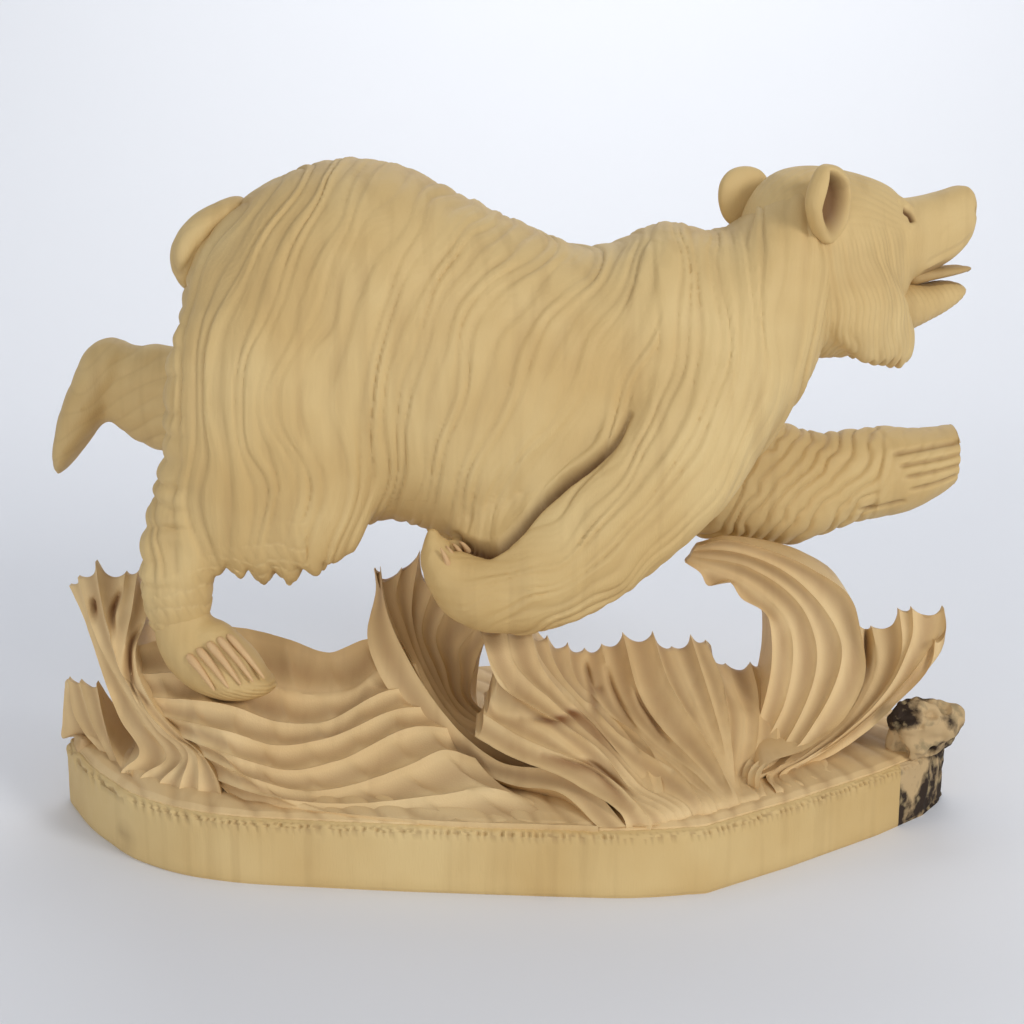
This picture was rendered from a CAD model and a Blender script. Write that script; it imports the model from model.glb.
"""A running bear, gouge-cut from one pale block of lime wood, above a base of curling leaves."""

import logging
import math
from dataclasses import dataclass
from enum import Enum

import bpy
import numpy as np
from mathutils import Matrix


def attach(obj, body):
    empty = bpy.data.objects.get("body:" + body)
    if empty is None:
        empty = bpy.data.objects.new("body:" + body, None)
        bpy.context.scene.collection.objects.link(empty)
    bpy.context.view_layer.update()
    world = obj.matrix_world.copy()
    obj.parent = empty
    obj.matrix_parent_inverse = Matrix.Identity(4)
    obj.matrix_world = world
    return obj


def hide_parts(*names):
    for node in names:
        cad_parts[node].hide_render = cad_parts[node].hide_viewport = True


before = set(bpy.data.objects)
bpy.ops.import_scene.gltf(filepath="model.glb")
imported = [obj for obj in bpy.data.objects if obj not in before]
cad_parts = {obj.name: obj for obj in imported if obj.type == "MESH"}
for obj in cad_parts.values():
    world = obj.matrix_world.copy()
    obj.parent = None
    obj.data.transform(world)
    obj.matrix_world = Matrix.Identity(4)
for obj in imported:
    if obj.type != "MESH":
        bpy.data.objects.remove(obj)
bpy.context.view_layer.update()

LOG = logging.getLogger("bear")
MM = 0.001
Point = tuple[float, float, float]
Flat = tuple[float, float]


class Slot(Enum):
    """The record's material slots."""

    BEAR = "bear_wood"
    PALE = "pale_wood"
    BARK = "bark_wood"
    CLAW = "claw_wood"


# ---- reading smooth curves and noise -------------------------------------------------
def through(knots: np.ndarray, values: np.ndarray, at: np.ndarray) -> np.ndarray:
    """Reads a smooth curve that passes through every given value.

    Args:
        knots: rising positions of the values.
        values: one value, or one row of values, at each knot.
        at: positions to read, clamped to the knots' span.

    Returns:
        The values read, one or one row for each position.
    """
    knots = np.asarray(knots, float)
    values = np.asarray(values, float)
    at = np.clip(np.asarray(at, float), knots[0], knots[-1])
    slopes = np.gradient(values, knots, axis=0)
    left = np.clip(np.searchsorted(knots, at, side="right") - 1, 0, len(knots) - 2)
    gap = knots[left + 1] - knots[left]
    t = (at - knots[left]) / gap
    if values.ndim > 1:
        t = t[:, None]
        gap = gap[:, None]
    start = (2 * t**3 - 3 * t**2 + 1) * values[left] + (t**3 - 2 * t**2 + t) * gap * slopes[left]
    end = (3 * t**2 - 2 * t**3) * values[left + 1] + (t**3 - t**2) * gap * slopes[left + 1]
    return start + end


def ease(value: np.ndarray, low: float, high: float) -> np.ndarray:
    """Rises smoothly from 0 at low to 1 at high."""
    t = np.clip((value - low) / (high - low), 0.0, 1.0)
    return t * t * (3.0 - 2.0 * t)


@dataclass(frozen=True)
class Drift:
    """Smooth seeded noise over space, between -1 and 1.

    Fields:
        seed: which noise.
        size: length of its features along x, y and z, in millimetres.
    """

    seed: int
    size: Point
    cells: int = 32

    def at(self, places: np.ndarray) -> np.ndarray:
        """Reads the noise at places, given in millimetres.

        Args:
            places: places in millimetres, one row each.

        Returns:
            One number per place.
        """
        lattice = np.random.default_rng(self.seed).uniform(-1.0, 1.0, (self.cells,) * 3)
        scaled = places / np.array(self.size) + 100.5
        low = np.floor(scaled).astype(int)
        part = scaled - low
        part = part * part * (3.0 - 2.0 * part)
        total = np.zeros(len(places))
        for corner in np.ndindex(2, 2, 2):
            cell = (low + corner) % self.cells
            weight = np.prod(np.where(corner, part, 1.0 - part), axis=1)
            total += weight * lattice[cell[:, 0], cell[:, 1], cell[:, 2]]
        return total


# ---- bench work on meshes --------------------------------------------------------------
def clear_selection() -> None:
    """Leaves nothing selected, so the next operator acts on its own piece only."""
    for item in bpy.context.selected_objects:
        item.select_set(False)


def pick(piece: bpy.types.Object) -> bpy.types.Object:
    """Makes one piece the only selected and active one.

    Args:
        piece: the piece to choose.

    Returns:
        The same piece.
    """
    clear_selection()
    piece.select_set(True)
    bpy.context.view_layer.objects.active = piece
    return piece


def places_of(piece: bpy.types.Object) -> np.ndarray:
    """The vertices' places in millimetres, one row each.

    Args:
        piece: the piece to read.

    Returns:
        The places.
    """
    flat = np.empty(len(piece.data.vertices) * 3, np.float32)
    piece.data.vertices.foreach_get("co", flat)
    return flat.reshape(-1, 3).astype(float) / MM


def move_to(piece: bpy.types.Object, places: np.ndarray) -> None:
    """Puts the vertices at new places, given in millimetres."""
    piece.data.vertices.foreach_set("co", (places * MM).astype(np.float32).ravel())
    piece.data.update()


def normals_of(piece: bpy.types.Object) -> np.ndarray:
    """The vertices' outward directions, one row each.

    Args:
        piece: the piece to read.

    Returns:
        The directions, each of length 1.
    """
    flat = np.empty(len(piece.data.vertices) * 3, np.float32)
    piece.data.vertex_normals.foreach_get("vector", flat)
    return flat.reshape(-1, 3).astype(float)


def write_tone(piece: bpy.types.Object, name: str, values: np.ndarray) -> None:
    """Stores one number per vertex for a finish to read."""
    layer = piece.data.attributes.get(name) or piece.data.attributes.new(name, "FLOAT", "POINT")
    layer.data.foreach_set("value", values.astype(np.float32))


def read_tone(piece: bpy.types.Object, name: str) -> np.ndarray:
    """Reads back the numbers that write_tone stored.

    Args:
        piece: the piece to read.
        name: the name that they are stored under.

    Returns:
        One number per vertex.
    """
    values = np.zeros(len(piece.data.vertices), np.float32)
    piece.data.attributes[name].data.foreach_get("value", values)
    return values.astype(float)


def add_modifier(piece: bpy.types.Object, kind: str, **settings: object) -> None:
    """Adds one modifier and applies it.

    Args:
        piece: the piece to change.
        kind: Blender's name of the modifier.
        settings: the modifier's own values.
    """
    pick(piece)
    modifier = piece.modifiers.new(kind.title(), kind)
    for key, value in settings.items():
        setattr(modifier, key, value)
    bpy.ops.object.modifier_apply(modifier=modifier.name)


def ball(name: str, segments: int, rings: int) -> bpy.types.Object:
    """Adds a unit ball, the lump that every rounded block is drawn out of.

    Args:
        name: its name.
        segments: faces round it.
        rings: faces from pole to pole.

    Returns:
        The ball.
    """
    clear_selection()
    bpy.ops.mesh.primitive_uv_sphere_add(segments=segments, ring_count=rings, radius=1.0)
    piece = bpy.context.active_object
    piece.name = name
    return piece


def drawn(name: str, stations: tuple[tuple[float, ...], ...], segments: int = 40, rings: int = 48,
          blunt: float = 8.0) -> bpy.types.Object:
    """Draws a ball out into a limb along a bent centre line.

    Args:
        name: the block's name.
        stations: x, y, z of the centre line, radius across (along Y), radius deep.
        segments: faces round the limb.
        rings: faces along the limb.
        blunt: how suddenly the ends close.

    Returns:
        The closed block.
    """
    rows = np.array(stations, float)
    piece = ball(name, segments, rings)
    start = places_of(piece) * MM
    height = np.clip(start[:, 2], -1.0, 1.0)
    turn = np.arctan2(start[:, 1], start[:, 0])
    reach = (1.0 - height) / 2.0
    length = np.concatenate([[0.0], np.cumsum(np.linalg.norm(np.diff(rows[:, :3], axis=0), axis=1))])
    at = reach * length[-1]
    here = through(length, rows, at)
    step = length[-1] * 0.02
    run = through(length, rows[:, :3], at + step) - through(length, rows[:, :3], at - step)
    run /= np.linalg.norm(run, axis=1)[:, None]
    side = np.array([0.0, 1.0, 0.0]) - run * run[:, 1:2]
    side /= np.linalg.norm(side, axis=1)[:, None]
    up = np.cross(run, side)
    cap = np.sqrt(np.clip(1.0 - np.abs(2.0 * reach - 1.0) ** blunt, 0.0, 1.0))
    across = (here[:, 3] * cap * np.sin(turn))[:, None]
    deep = (here[:, 4] * cap * np.cos(turn))[:, None]
    move_to(piece, here[:, :3] + side * across + up * deep)
    turn_outward(piece)
    return piece


def turn_outward(piece: bpy.types.Object) -> None:
    """Makes every face point out.

    Args:
        piece: the piece to change.
    """
    pick(piece)
    bpy.ops.object.mode_set(mode="EDIT")
    bpy.ops.mesh.select_all(action="SELECT")
    bpy.ops.mesh.normals_make_consistent(inside=False)
    bpy.ops.object.mode_set(mode="OBJECT")


def fused(name: str, blocks: list[bpy.types.Object], grain: float, rounds: int,
          splits: int) -> bpy.types.Object:
    """Fuses overlapping blocks into one skin and eases the joins.

    Args:
        name: the skin's name.
        blocks: closed blocks that overlap.
        grain: size of the rough cells in millimetres.
        rounds: rounds of smoothing.
        splits: how many times the smooth skin is divided.

    Returns:
        One closed skin of even cells.
    """
    clear_selection()
    for block in blocks:
        block.select_set(True)
    bpy.context.view_layer.objects.active = blocks[0]
    bpy.ops.object.join()
    piece = bpy.context.active_object
    piece.name = name
    add_modifier(piece, "REMESH", mode="VOXEL", voxel_size=grain * MM)
    add_modifier(piece, "SMOOTH", factor=0.5, iterations=rounds)
    if splits:
        add_modifier(piece, "SUBSURF", levels=splits, render_levels=splits)
    return piece


# ---- the gouge cuts ---------------------------------------------------------------------
def strand(phase: np.ndarray, lean: float = 0.4, round_by: float = 0.75) -> np.ndarray:
    """Height, 0 to 1, across rounded strands with a sharp valley between each two.

    Args:
        phase: how many strands have been passed.
        lean: where in a strand its crest lies, 0 to 1.
        round_by: power of the crest; less is rounder.

    Returns:
        The heights.
    """
    turn = np.mod(phase, 1.0)
    turn = np.where(turn < lean, 0.5 * turn / lean, 0.5 + 0.5 * (turn - lean) / (1.0 - lean))
    crest = np.sin(np.pi * turn)
    return ((crest * crest + 0.012) / 1.012) ** (0.5 * round_by)


@dataclass(frozen=True)
class Flow:
    """A sheaf of hand-drawn lines in the XZ plane that the cuts follow.

    Fields:
        heading: degrees from straight down, towards -X, in which every line runs on.
        lines: each line's points, x and z in millimetres, from its upper end to its lower end.
        pitch: distance between two cuts, in millimetres.
        sway: how far noise pushes the cuts sideways, in cuts.
    """

    heading: float
    lines: tuple[tuple[Flat, ...], ...]
    pitch: float = 7.0
    sway: float = 0.55
    seed: int = 3

    def _axes(self) -> tuple[np.ndarray, np.ndarray]:
        """The direction the lines run in, and the one across them.

        Returns:
            Both directions, x and z.
        """
        turn = math.radians(self.heading)
        along = np.array([-math.sin(turn), -math.cos(turn)])
        across = np.array([math.cos(turn), -math.sin(turn)])
        return along, across

    def phase(self, places: np.ndarray) -> np.ndarray:
        """Counts the cuts passed, going across the lines, at each place.

        Args:
            places: places in millimetres, one row each.

        Returns:
            The count, which runs smoothly from cut to cut.
        """
        along, across = self._axes()
        flat = places[:, (0, 2)]
        t = flat @ along
        s = flat @ across
        total = np.zeros(len(places))
        before = None
        for line in self.lines:
            points = np.array(line, float)
            line_t = points @ along
            here = through(line_t, points @ across, t)
            if before is None:
                total += np.minimum(s - here, 0.0) / self.pitch
            else:
                widest = float(np.mean(through(line_t, points @ across, line_t) - before_at(before, line_t)))
                count = max(1.0, round(widest / self.pitch))
                gap = np.maximum(here - before["s"], 0.5)
                total += count * np.clip((s - before["s"]) / gap, 0.0, 1.0)
            before = {"s": here, "t": line_t, "points": points @ across}
        total += np.maximum(s - before["s"], 0.0) / self.pitch
        long_noise = Drift(self.seed, (46.0, 60.0, 50.0)).at(places)
        short_noise = Drift(self.seed + 1, (15.0, 24.0, 30.0)).at(places)
        total += self.sway * (1.7 * long_noise + 0.8 * short_noise)
        return total + 0.24 * np.sin(2.1 * total + 3.0 * long_noise)


def before_at(before: dict, line_t: np.ndarray) -> np.ndarray:
    """Reads the earlier line of a sheaf along the later one."""
    return through(before["t"], before["points"], line_t)


@dataclass(frozen=True)
class Coat:
    """Fur cut along a flow: main strands, finer ones that come and go, and their depth."""

    flow: Flow
    depth: float = 1.2

    def height(self, places: np.ndarray) -> np.ndarray:
        """Height of the fur, 0 in a valley to about 1 on a crest.

        Args:
            places: places in millimetres, one row each.

        Returns:
            One height per place.
        """
        phase = self.flow.phase(places)
        wander = Drift(self.flow.seed + 12, (40.0, 60.0, 60.0)).at(places)
        bold = 0.72 + 0.28 * np.sin(2.4 * np.floor(phase) + 3.0 * wander)
        main = strand(phase, 0.3, 0.8)
        split = ease(Drift(self.flow.seed + 7, (20.0, 30.0, 46.0)).at(places), -0.25, 0.3)
        fine = strand(phase * 2.0 + 0.35, 0.5, 0.7)
        streak = strand(phase * 5.0 + 1.5 * Drift(self.flow.seed + 8, (9.0, 9.0, 30.0)).at(places), 0.5, 1.0)
        swell = 0.82 + 0.26 * Drift(self.flow.seed + 9, (14.0, 20.0, 30.0)).at(places)
        weak = 0.6 + 0.4 * ease(Drift(self.flow.seed + 11, (18.0, 24.0, 26.0)).at(places), -0.5, 0.15)
        strands = (1.0 - weak * (1.0 - main * bold)) * (1.0 - 0.34 * split * (1.0 - fine))
        return strands * swell + 0.06 * streak


def nearest_on(line: tuple[Flat, ...], flat: np.ndarray,
               samples: int = 90) -> tuple[np.ndarray, np.ndarray]:
    """Distance from places to a drawn line, and how far along it, 0 to 1.

    Args:
        line: the line's points.
        flat: the places, two numbers in each row.
        samples: how many spots along the line are tried.

    Returns:
        The distances, and the shares of the line.
    """
    points = np.array(line, float)
    length = np.concatenate([[0.0], np.cumsum(np.linalg.norm(np.diff(points, axis=0), axis=1))])
    ticks = np.linspace(0.0, length[-1], samples)
    path = through(length, points, ticks)
    best = np.full(len(flat), 1e9)
    part = np.zeros(len(flat))
    for index, spot in enumerate(path):
        away = np.hypot(flat[:, 0] - spot[0], flat[:, 1] - spot[1])
        closer = away < best
        best[closer] = away[closer]
        part[closer] = index / (samples - 1)
    return best, part


# ---- finishes --------------------------------------------------------------------------------
class Bench:
    """A new material, and the few kinds of node that the finishes are mixed from."""

    def __init__(self, name: str) -> None:
        """Starts a material that reads the piece's own coordinates.

        Args:
            name: the material's name.
        """
        self.material = bpy.data.materials.new(name)
        self.material.use_nodes = True
        self.nodes = self.material.node_tree.nodes
        self.links = self.material.node_tree.links
        self.shader = self.nodes["Principled BSDF"]
        self.where = self.nodes.new("ShaderNodeTexCoord")

    def texture(self, scale: Point, size: float, detail: float) -> bpy.types.NodeSocket:
        """Adds noise over the piece.

        Args:
            scale: stretch along x, y and z; a small value draws the noise out.
            size: features in a metre.
            detail: how many finer layers it has.

        Returns:
            The noise's value.
        """
        mapping = self.nodes.new("ShaderNodeMapping")
        mapping.inputs["Scale"].default_value = scale
        self.links.new(self.where.outputs["Object"], mapping.inputs["Vector"])
        noise = self.nodes.new("ShaderNodeTexNoise")
        noise.inputs["Scale"].default_value = size
        noise.inputs["Detail"].default_value = detail
        self.links.new(mapping.outputs["Vector"], noise.inputs["Vector"])
        return noise.outputs["Fac"]

    def ramp(self, source: bpy.types.NodeSocket, low: float, high: float,
             span: Flat = (0.0, 1.0)) -> bpy.types.NodeSocket:
        """Spreads part of a value's range over a span.

        Args:
            source: the value.
            low: where the span starts.
            high: where it ends.
            span: what it becomes at low and at high.

        Returns:
            The spread value.
        """
        node = self.nodes.new("ShaderNodeMapRange")
        node.inputs["From Min"].default_value = low
        node.inputs["From Max"].default_value = high
        node.inputs["To Min"].default_value = span[0]
        node.inputs["To Max"].default_value = span[1]
        self.links.new(source, node.inputs["Value"])
        return node.outputs[0]

    def mix(self, factor: bpy.types.NodeSocket | float, first: bpy.types.NodeSocket | Point,
            second: bpy.types.NodeSocket | Point) -> bpy.types.NodeSocket:
        """Mixes two colours.

        Args:
            factor: share of the second.
            first: a colour or a node's colour.
            second: the same.

        Returns:
            The mixed colour.
        """
        node = self.nodes.new("ShaderNodeMix")
        node.data_type = "RGBA"
        for socket, value in ((node.inputs[0], factor), (node.inputs[6], first), (node.inputs[7], second)):
            if isinstance(value, float):
                socket.default_value = value
            elif isinstance(value, tuple):
                socket.default_value = (*value, 1.0)
            else:
                self.links.new(value, socket)
        return node.outputs[2]

    def bump(self, source: bpy.types.NodeSocket, strength: float, distance: float) -> None:
        """Roughens the surface a little.

        Args:
            source: the height.
            strength: share of the roughening that shows.
            distance: its height in metres.
        """
        bump = self.nodes.new("ShaderNodeBump")
        bump.inputs["Strength"].default_value = strength
        bump.inputs["Distance"].default_value = distance
        self.links.new(source, bump.inputs["Height"])
        self.links.new(bump.outputs["Normal"], self.shader.inputs["Normal"])


@dataclass(frozen=True)
class WoodFinish:
    """Bare cut lime wood: mottled tone, growth lines, pores, and darker cuts.

    Fields:
        name: the material's name.
        pale: colour on the crests.
        warm: colour of the warmer patches.
        deep: colour in the bottom of the cuts.
        ring: distance between growth lines, in millimetres.
        line_share: how strongly the growth lines show.
    """

    name: str
    pale: Point = (0.64, 0.468, 0.215)
    warm: Point = (0.56, 0.38, 0.155)
    deep: Point = (0.20, 0.10, 0.035)
    ring: float = 9.0
    line_share: float = 0.22

    def make(self) -> bpy.types.Material:
        """Mixes the finish.

        Returns:
            The material.
        """
        bench = Bench(self.name)
        bench.shader.inputs["Specular IOR Level"].default_value = 0.28
        patches = bench.ramp(bench.texture((1.0, 1.0, 1.0), 14.0, 3.0), 0.35, 0.65)
        body = bench.mix(patches, self.pale, self.warm)
        lines = bench.ramp(bench.texture((1.0, 0.35, 0.06), 1000.0 / self.ring, 2.0), 0.52, 0.68)
        line = tuple(0.5 * (a + b) for a, b in zip(self.warm, self.deep))
        grained = bench.mix(self.line_share, body, bench.mix(lines, body, line))
        tone = bench.nodes.new("ShaderNodeAttribute")
        tone.attribute_name = "cut"
        cut = bench.mix(bench.ramp(tone.outputs["Fac"], 0.12, 1.25), grained, self.deep)
        bench.links.new(cut, bench.shader.inputs["Base Color"])
        fibres = bench.texture((1.0, 1.0, 0.12), 1400.0, 4.0)
        rough = bench.ramp(fibres, 0.0, 1.0, (0.5, 0.72))
        bench.links.new(rough, bench.shader.inputs["Roughness"])
        bench.bump(fibres, 0.25, 0.0006)
        return bench.material


@dataclass(frozen=True)
class BarkFinish:
    """The waney end of the block: dark bark and grey-brown rot over paler wood."""

    name: str = "bark_wood"
    wood: Point = (0.50, 0.35, 0.18)
    dark: Point = (0.035, 0.022, 0.014)
    grey: Point = (0.31, 0.23, 0.12)

    def make(self) -> bpy.types.Material:
        """Mixes the finish.

        Returns:
            The material.
        """
        bench = Bench(self.name)
        bench.shader.inputs["Roughness"].default_value = 0.85
        bench.shader.inputs["Specular IOR Level"].default_value = 0.2
        patches = bench.texture((1.0, 1.0, 1.0), 48.0, 6.0)
        rot = bench.texture((1.0, 1.0, 1.0), 130.0, 6.0)
        tint = bench.mix(bench.ramp(patches, 0.45, 0.53), self.wood, self.dark)
        tint = bench.mix(bench.ramp(rot, 0.54, 0.66), tint, self.grey)
        bench.links.new(tint, bench.shader.inputs["Base Color"])
        bench.bump(rot, 0.6, 0.001)
        return bench.material


def dress(piece: bpy.types.Object, material: bpy.types.Material, nodes: tuple[str, ...]) -> None:
    """Gives a finished piece its finish and its place in the frame.

    Args:
        piece: the finished piece.
        material: its finish.
        nodes: the CAD nodes that it stands for.
    """
    piece.data.materials.clear()
    piece.data.materials.append(material)
    pick(piece)
    bpy.ops.object.shade_smooth_by_angle(angle=math.radians(50.0))
    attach(piece, "root")
    if nodes:
        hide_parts(*nodes)
    LOG.info("%s: %d faces", piece.name, len(piece.data.polygons))

# ---- the bear's body ---------------------------------------------------------------------------
@dataclass
class BearBody:
    """Trunk, neck and the two near legs: one skin, cut as fur, then parted into pieces."""

    trunk: tuple[tuple[float, ...], ...] = (
        (-171.0, 205.0, 262.0, 24.0),
        (-164.0, 172.0, 286.0, 44.0),
        (-147.0, 150.0, 304.0, 58.0),
        (-120.0, 140.0, 323.0, 70.0),
        (-90.0, 142.0, 333.5, 74.0),
        (-60.0, 150.0, 331.5, 73.0),
        (-20.0, 132.0, 313.5, 70.0),
        (10.0, 133.0, 300.0, 67.0),
        (38.0, 140.0, 290.0, 63.0),
        (56.0, 146.0, 293.5, 60.0),
        (70.0, 150.0, 301.5, 58.0),
        (82.0, 151.0, 303.0, 57.0),
        (98.0, 158.0, 297.0, 55.0),
        (114.0, 170.0, 304.0, 52.0),
        (128.0, 184.0, 316.0, 48.0),
        (142.0, 204.0, 325.5, 43.0),
        (154.0, 222.0, 323.0, 37.0),
        (164.0, 232.0, 312.0, 28.0),
    )
    thigh: tuple[tuple[float, ...], ...] = (
        (-105.0, -34.0, 270.0, 34.0, 52.0),
        (-112.0, -44.0, 225.0, 35.0, 59.0),
        (-116.0, -48.0, 180.0, 28.0, 54.0),
        (-114.0, -50.0, 148.0, 20.0, 43.0),
        (-112.0, -50.0, 125.0, 12.0, 30.0),
    )
    shank: tuple[tuple[float, ...], ...] = (
        (-134.0, -42.0, 200.0, 26.0, 36.0),
        (-154.0, -44.0, 162.0, 21.0, 28.0),
        (-167.0, -46.0, 134.0, 18.0, 20.5),
        (-167.0, -46.0, 112.0, 16.0, 17.5),
        (-163.0, -47.0, 94.0, 15.0, 15.5),
    )
    foreleg: tuple[tuple[float, ...], ...] = (
        (104.0, -20.0, 262.0, 18.0, 30.0),
        (98.0, -36.0, 228.0, 24.0, 38.0),
        (82.0, -50.0, 198.0, 25.0, 38.0),
        (58.0, -60.0, 170.0, 25.0, 34.0),
        (28.0, -66.0, 146.0, 24.0, 31.0),
        (0.0, -68.0, 131.0, 22.0, 26.0),
        (-20.0, -68.0, 131.0, 20.0, 20.0),
        (-36.0, -68.0, 146.0, 14.0, 11.0),
        (-40.0, -68.0, 164.0, 7.0, 4.0),
    )
    fold: tuple[tuple[float, ...], ...] = (
        (-32.0, -44.0, 152.0, 12.0, 7.0),
        (-8.0, -48.0, 157.0, 16.0, 12.0),
        (26.0, -48.0, 178.0, 17.0, 14.0),
        (58.0, -46.0, 204.0, 17.0, 16.0),
    )
    flank: Flow = Flow(
        20.0,
        (
            ((-140, 318), (-155, 290), (-165, 250), (-168, 200), (-170, 150), (-172, 90)),
            ((-118, 325), (-138, 290), (-150, 250), (-152, 200), (-150, 150), (-150, 100)),
            ((-98, 332), (-122, 290), (-132, 250), (-134, 210), (-130, 180), (-134, 150), (-136, 100)),
            ((-74, 333), (-102, 290), (-114, 250), (-118, 215), (-112, 185), (-116, 150), (-118, 100)),
            ((-48, 328), (-78, 290), (-92, 250), (-96, 215), (-90, 180), (-98, 150), (-102, 100)),
            ((-20, 312), (-52, 280), (-66, 245), (-70, 215), (-66, 185), (-78, 150), (-84, 100)),
            ((8, 300), (-24, 270), (-38, 240), (-44, 210), (-44, 185), (-52, 160), (-58, 120)),
            ((36, 290), (10, 262), (-6, 235), (-16, 205), (-24, 180), (-30, 155), (-36, 120)),
            ((60, 294), (40, 262), (24, 235), (12, 205), (0, 180), (-8, 155), (-12, 120)),
            ((84, 300), (68, 262), (56, 235), (46, 205), (28, 180), (16, 155), (6, 120)),
        ),
        pitch=7.6,
    )
    shoulder: Flow = Flow(
        42.0,
        (
            ((58, 296), (64, 262), (62, 235), (50, 206), (22, 184), (-10, 164), (-40, 156)),
            ((84, 302), (86, 262), (84, 235), (72, 205), (44, 172), (6, 144), (-38, 148)),
            ((104, 304), (106, 262), (104, 232), (92, 200), (62, 166), (22, 132), (-30, 122)),
            ((124, 316), (124, 270), (122, 235), (112, 200), (84, 160), (44, 120), (0, 98)),
            ((146, 326), (142, 280), (140, 240), (134, 205), (108, 165), (66, 118), (20, 84)),
            ((166, 326), (160, 280), (158, 240), (154, 205), (130, 160), (90, 110), (44, 70)),
        ),
        pitch=7.8,
        seed=23,
    )
    seam: tuple[Flat, ...] = ((66, 300), (70, 262), (66, 232), (57, 210), (44, 198), (22, 181), (6, 166),
                              (-12, 152), (-30, 156))
    cut_line: tuple[Flat, ...] = ((56, 216), (50, 206), (38, 194), (23, 182), (12, 172), (2, 161), (-12, 151),
                                  (-27, 153))
    fur_depth: float = 2.3

    def rough_out(self) -> bpy.types.Object:
        """Blocks out the trunk and near legs, and fuses them.

        Returns:
            The uncut skin.
        """
        rows = np.array(self.trunk)
        middle = (rows[:, 1] + rows[:, 2]) / 2.0
        half = (rows[:, 2] - rows[:, 1]) / 2.0
        stations = np.stack([rows[:, 0], 0.0 * middle, middle, rows[:, 3], half], axis=1)
        blocks = [self._trunk_block(stations)]
        blocks.append(drawn("thigh", self.thigh))
        blocks.append(drawn("shank", self.shank))
        blocks.append(drawn("foreleg", self.foreleg, blunt=14.0))
        blocks.append(drawn("fold", self.fold))
        return fused("bear_skin", blocks, 4.1, 8, 2)

    def _trunk_block(self, stations: np.ndarray) -> bpy.types.Object:
        """The trunk: upright sections, a little square, set along X.

        Args:
            stations: x, y and z of the centre line, radius across, radius high.

        Returns:
            The closed block.
        """
        piece = ball("trunk", 64, 96)
        start = places_of(piece) * MM
        reach = (1.0 - np.clip(start[:, 2], -1.0, 1.0)) / 2.0
        turn = np.arctan2(start[:, 1], start[:, 0])
        low = stations[0, 0]
        high = stations[-1, 0]
        here = through(stations[:, 0], stations, low + (high - low) * reach)
        cap = np.sqrt(np.clip(1.0 - np.abs(2.0 * reach - 1.0) ** 24.0, 0.0, 1.0))
        wide = np.sign(np.sin(turn)) * np.abs(np.sin(turn)) ** 0.88
        tall = np.sign(np.cos(turn)) * np.abs(np.cos(turn)) ** 0.92
        y = here[:, 3] * cap * wide
        z = here[:, 2] + here[:, 4] * cap * tall
        move_to(piece, np.stack([here[:, 0], y, z], axis=1))
        turn_outward(piece)
        return piece

    def carve(self, skin: bpy.types.Object) -> None:
        """Cuts the fur along its two flows, and the deep line above the foreleg.

        Args:
            skin: the uncut skin.
        """
        places = places_of(skin)
        normals = normals_of(skin)
        flank = Coat(self.flank).height(places)
        shoulder = Coat(self.shoulder).height(places)
        ahead = self._ahead_of_seam(places)
        fur = flank * (1.0 - ahead) + shoulder * ahead
        flat = places[:, (0, 2)]
        away, part = nearest_on(self.cut_line, flat)
        near_side = ease(-places[:, 1], 10.0, 40.0)
        slot = np.exp(-((away / 1.7) ** 2)) * near_side * (0.3 + 0.7 * ease(part, 0.0, 0.3))
        slant = places[:, 2] - 0.5 * (places[:, 0] + 160.0)
        shank = (1.0 - ease(slant, 118.0, 150.0)) * (places[:, 0] < -100.0)
        tufts = self._tufts(places)
        paw = 1.0 - ease(places[:, 0], -34.0, 10.0)
        beside = (places[:, 0] > -60.0) * (1.0 - ease(places[:, 2], 150.0, 175.0))
        paw *= beside * ease(-places[:, 1], 30.0, 50.0)
        depth = self.fur_depth * (fur - 0.75) * (1.0 - shank) * (1.0 - 0.75 * paw) - 8.5 * slot
        depth += 1.3 * shank * (tufts - 0.6)
        moved = places + normals * depth[:, None]
        rump = (1.0 - ease(places[:, 0], -74.0, -56.0)) * ease(places[:, 0], -162.0, -140.0)
        fringe = (1.0 - ease(moved[:, 2], 121.0, 146.0)) * rump * ease(-places[:, 1], 5.0, 20.0)
        tips = strand(places[:, 0] / 13.0 + 0.35 * Drift(19, (17.0, 17.0, 17.0)).at(places), 0.62, 0.8)
        moved[:, 2] += (9.0 * (1.0 - tips) + 3.0 * (1.0 - flank)) * fringe
        edge = (1.0 - ease(moved[:, 2] - 0.66 * (places[:, 0] - 40.0), 108.0, 126.0)) * (places[:, 0] > 20.0)
        notch = strand((places[:, 0] + 0.5 * places[:, 2]) / 12.0, 0.35, 0.8)
        moved += normals * (1.2 * edge * (notch - 1.0) * near_side)[:, None]
        rear = 1.0 - ease(places[:, 0], -168.0, -152.0)
        bites = strand(places[:, 2] / 13.0 + 0.5 * Drift(20, (30.0, 30.0, 16.0)).at(places), 0.4, 0.8)
        moved += normals * (2.2 * rear * (1.0 - shank) * (bites - 0.8))[:, None]
        move_to(skin, moved)
        tone = 0.34 * (1.0 - fur) ** 1.6 * (1.0 - shank) * (1.0 - 0.7 * paw) + 0.4 * shank * (1.0 - tufts)
        write_tone(skin, "cut", np.clip(tone + 1.3 * slot, 0.0, 1.4))

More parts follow.
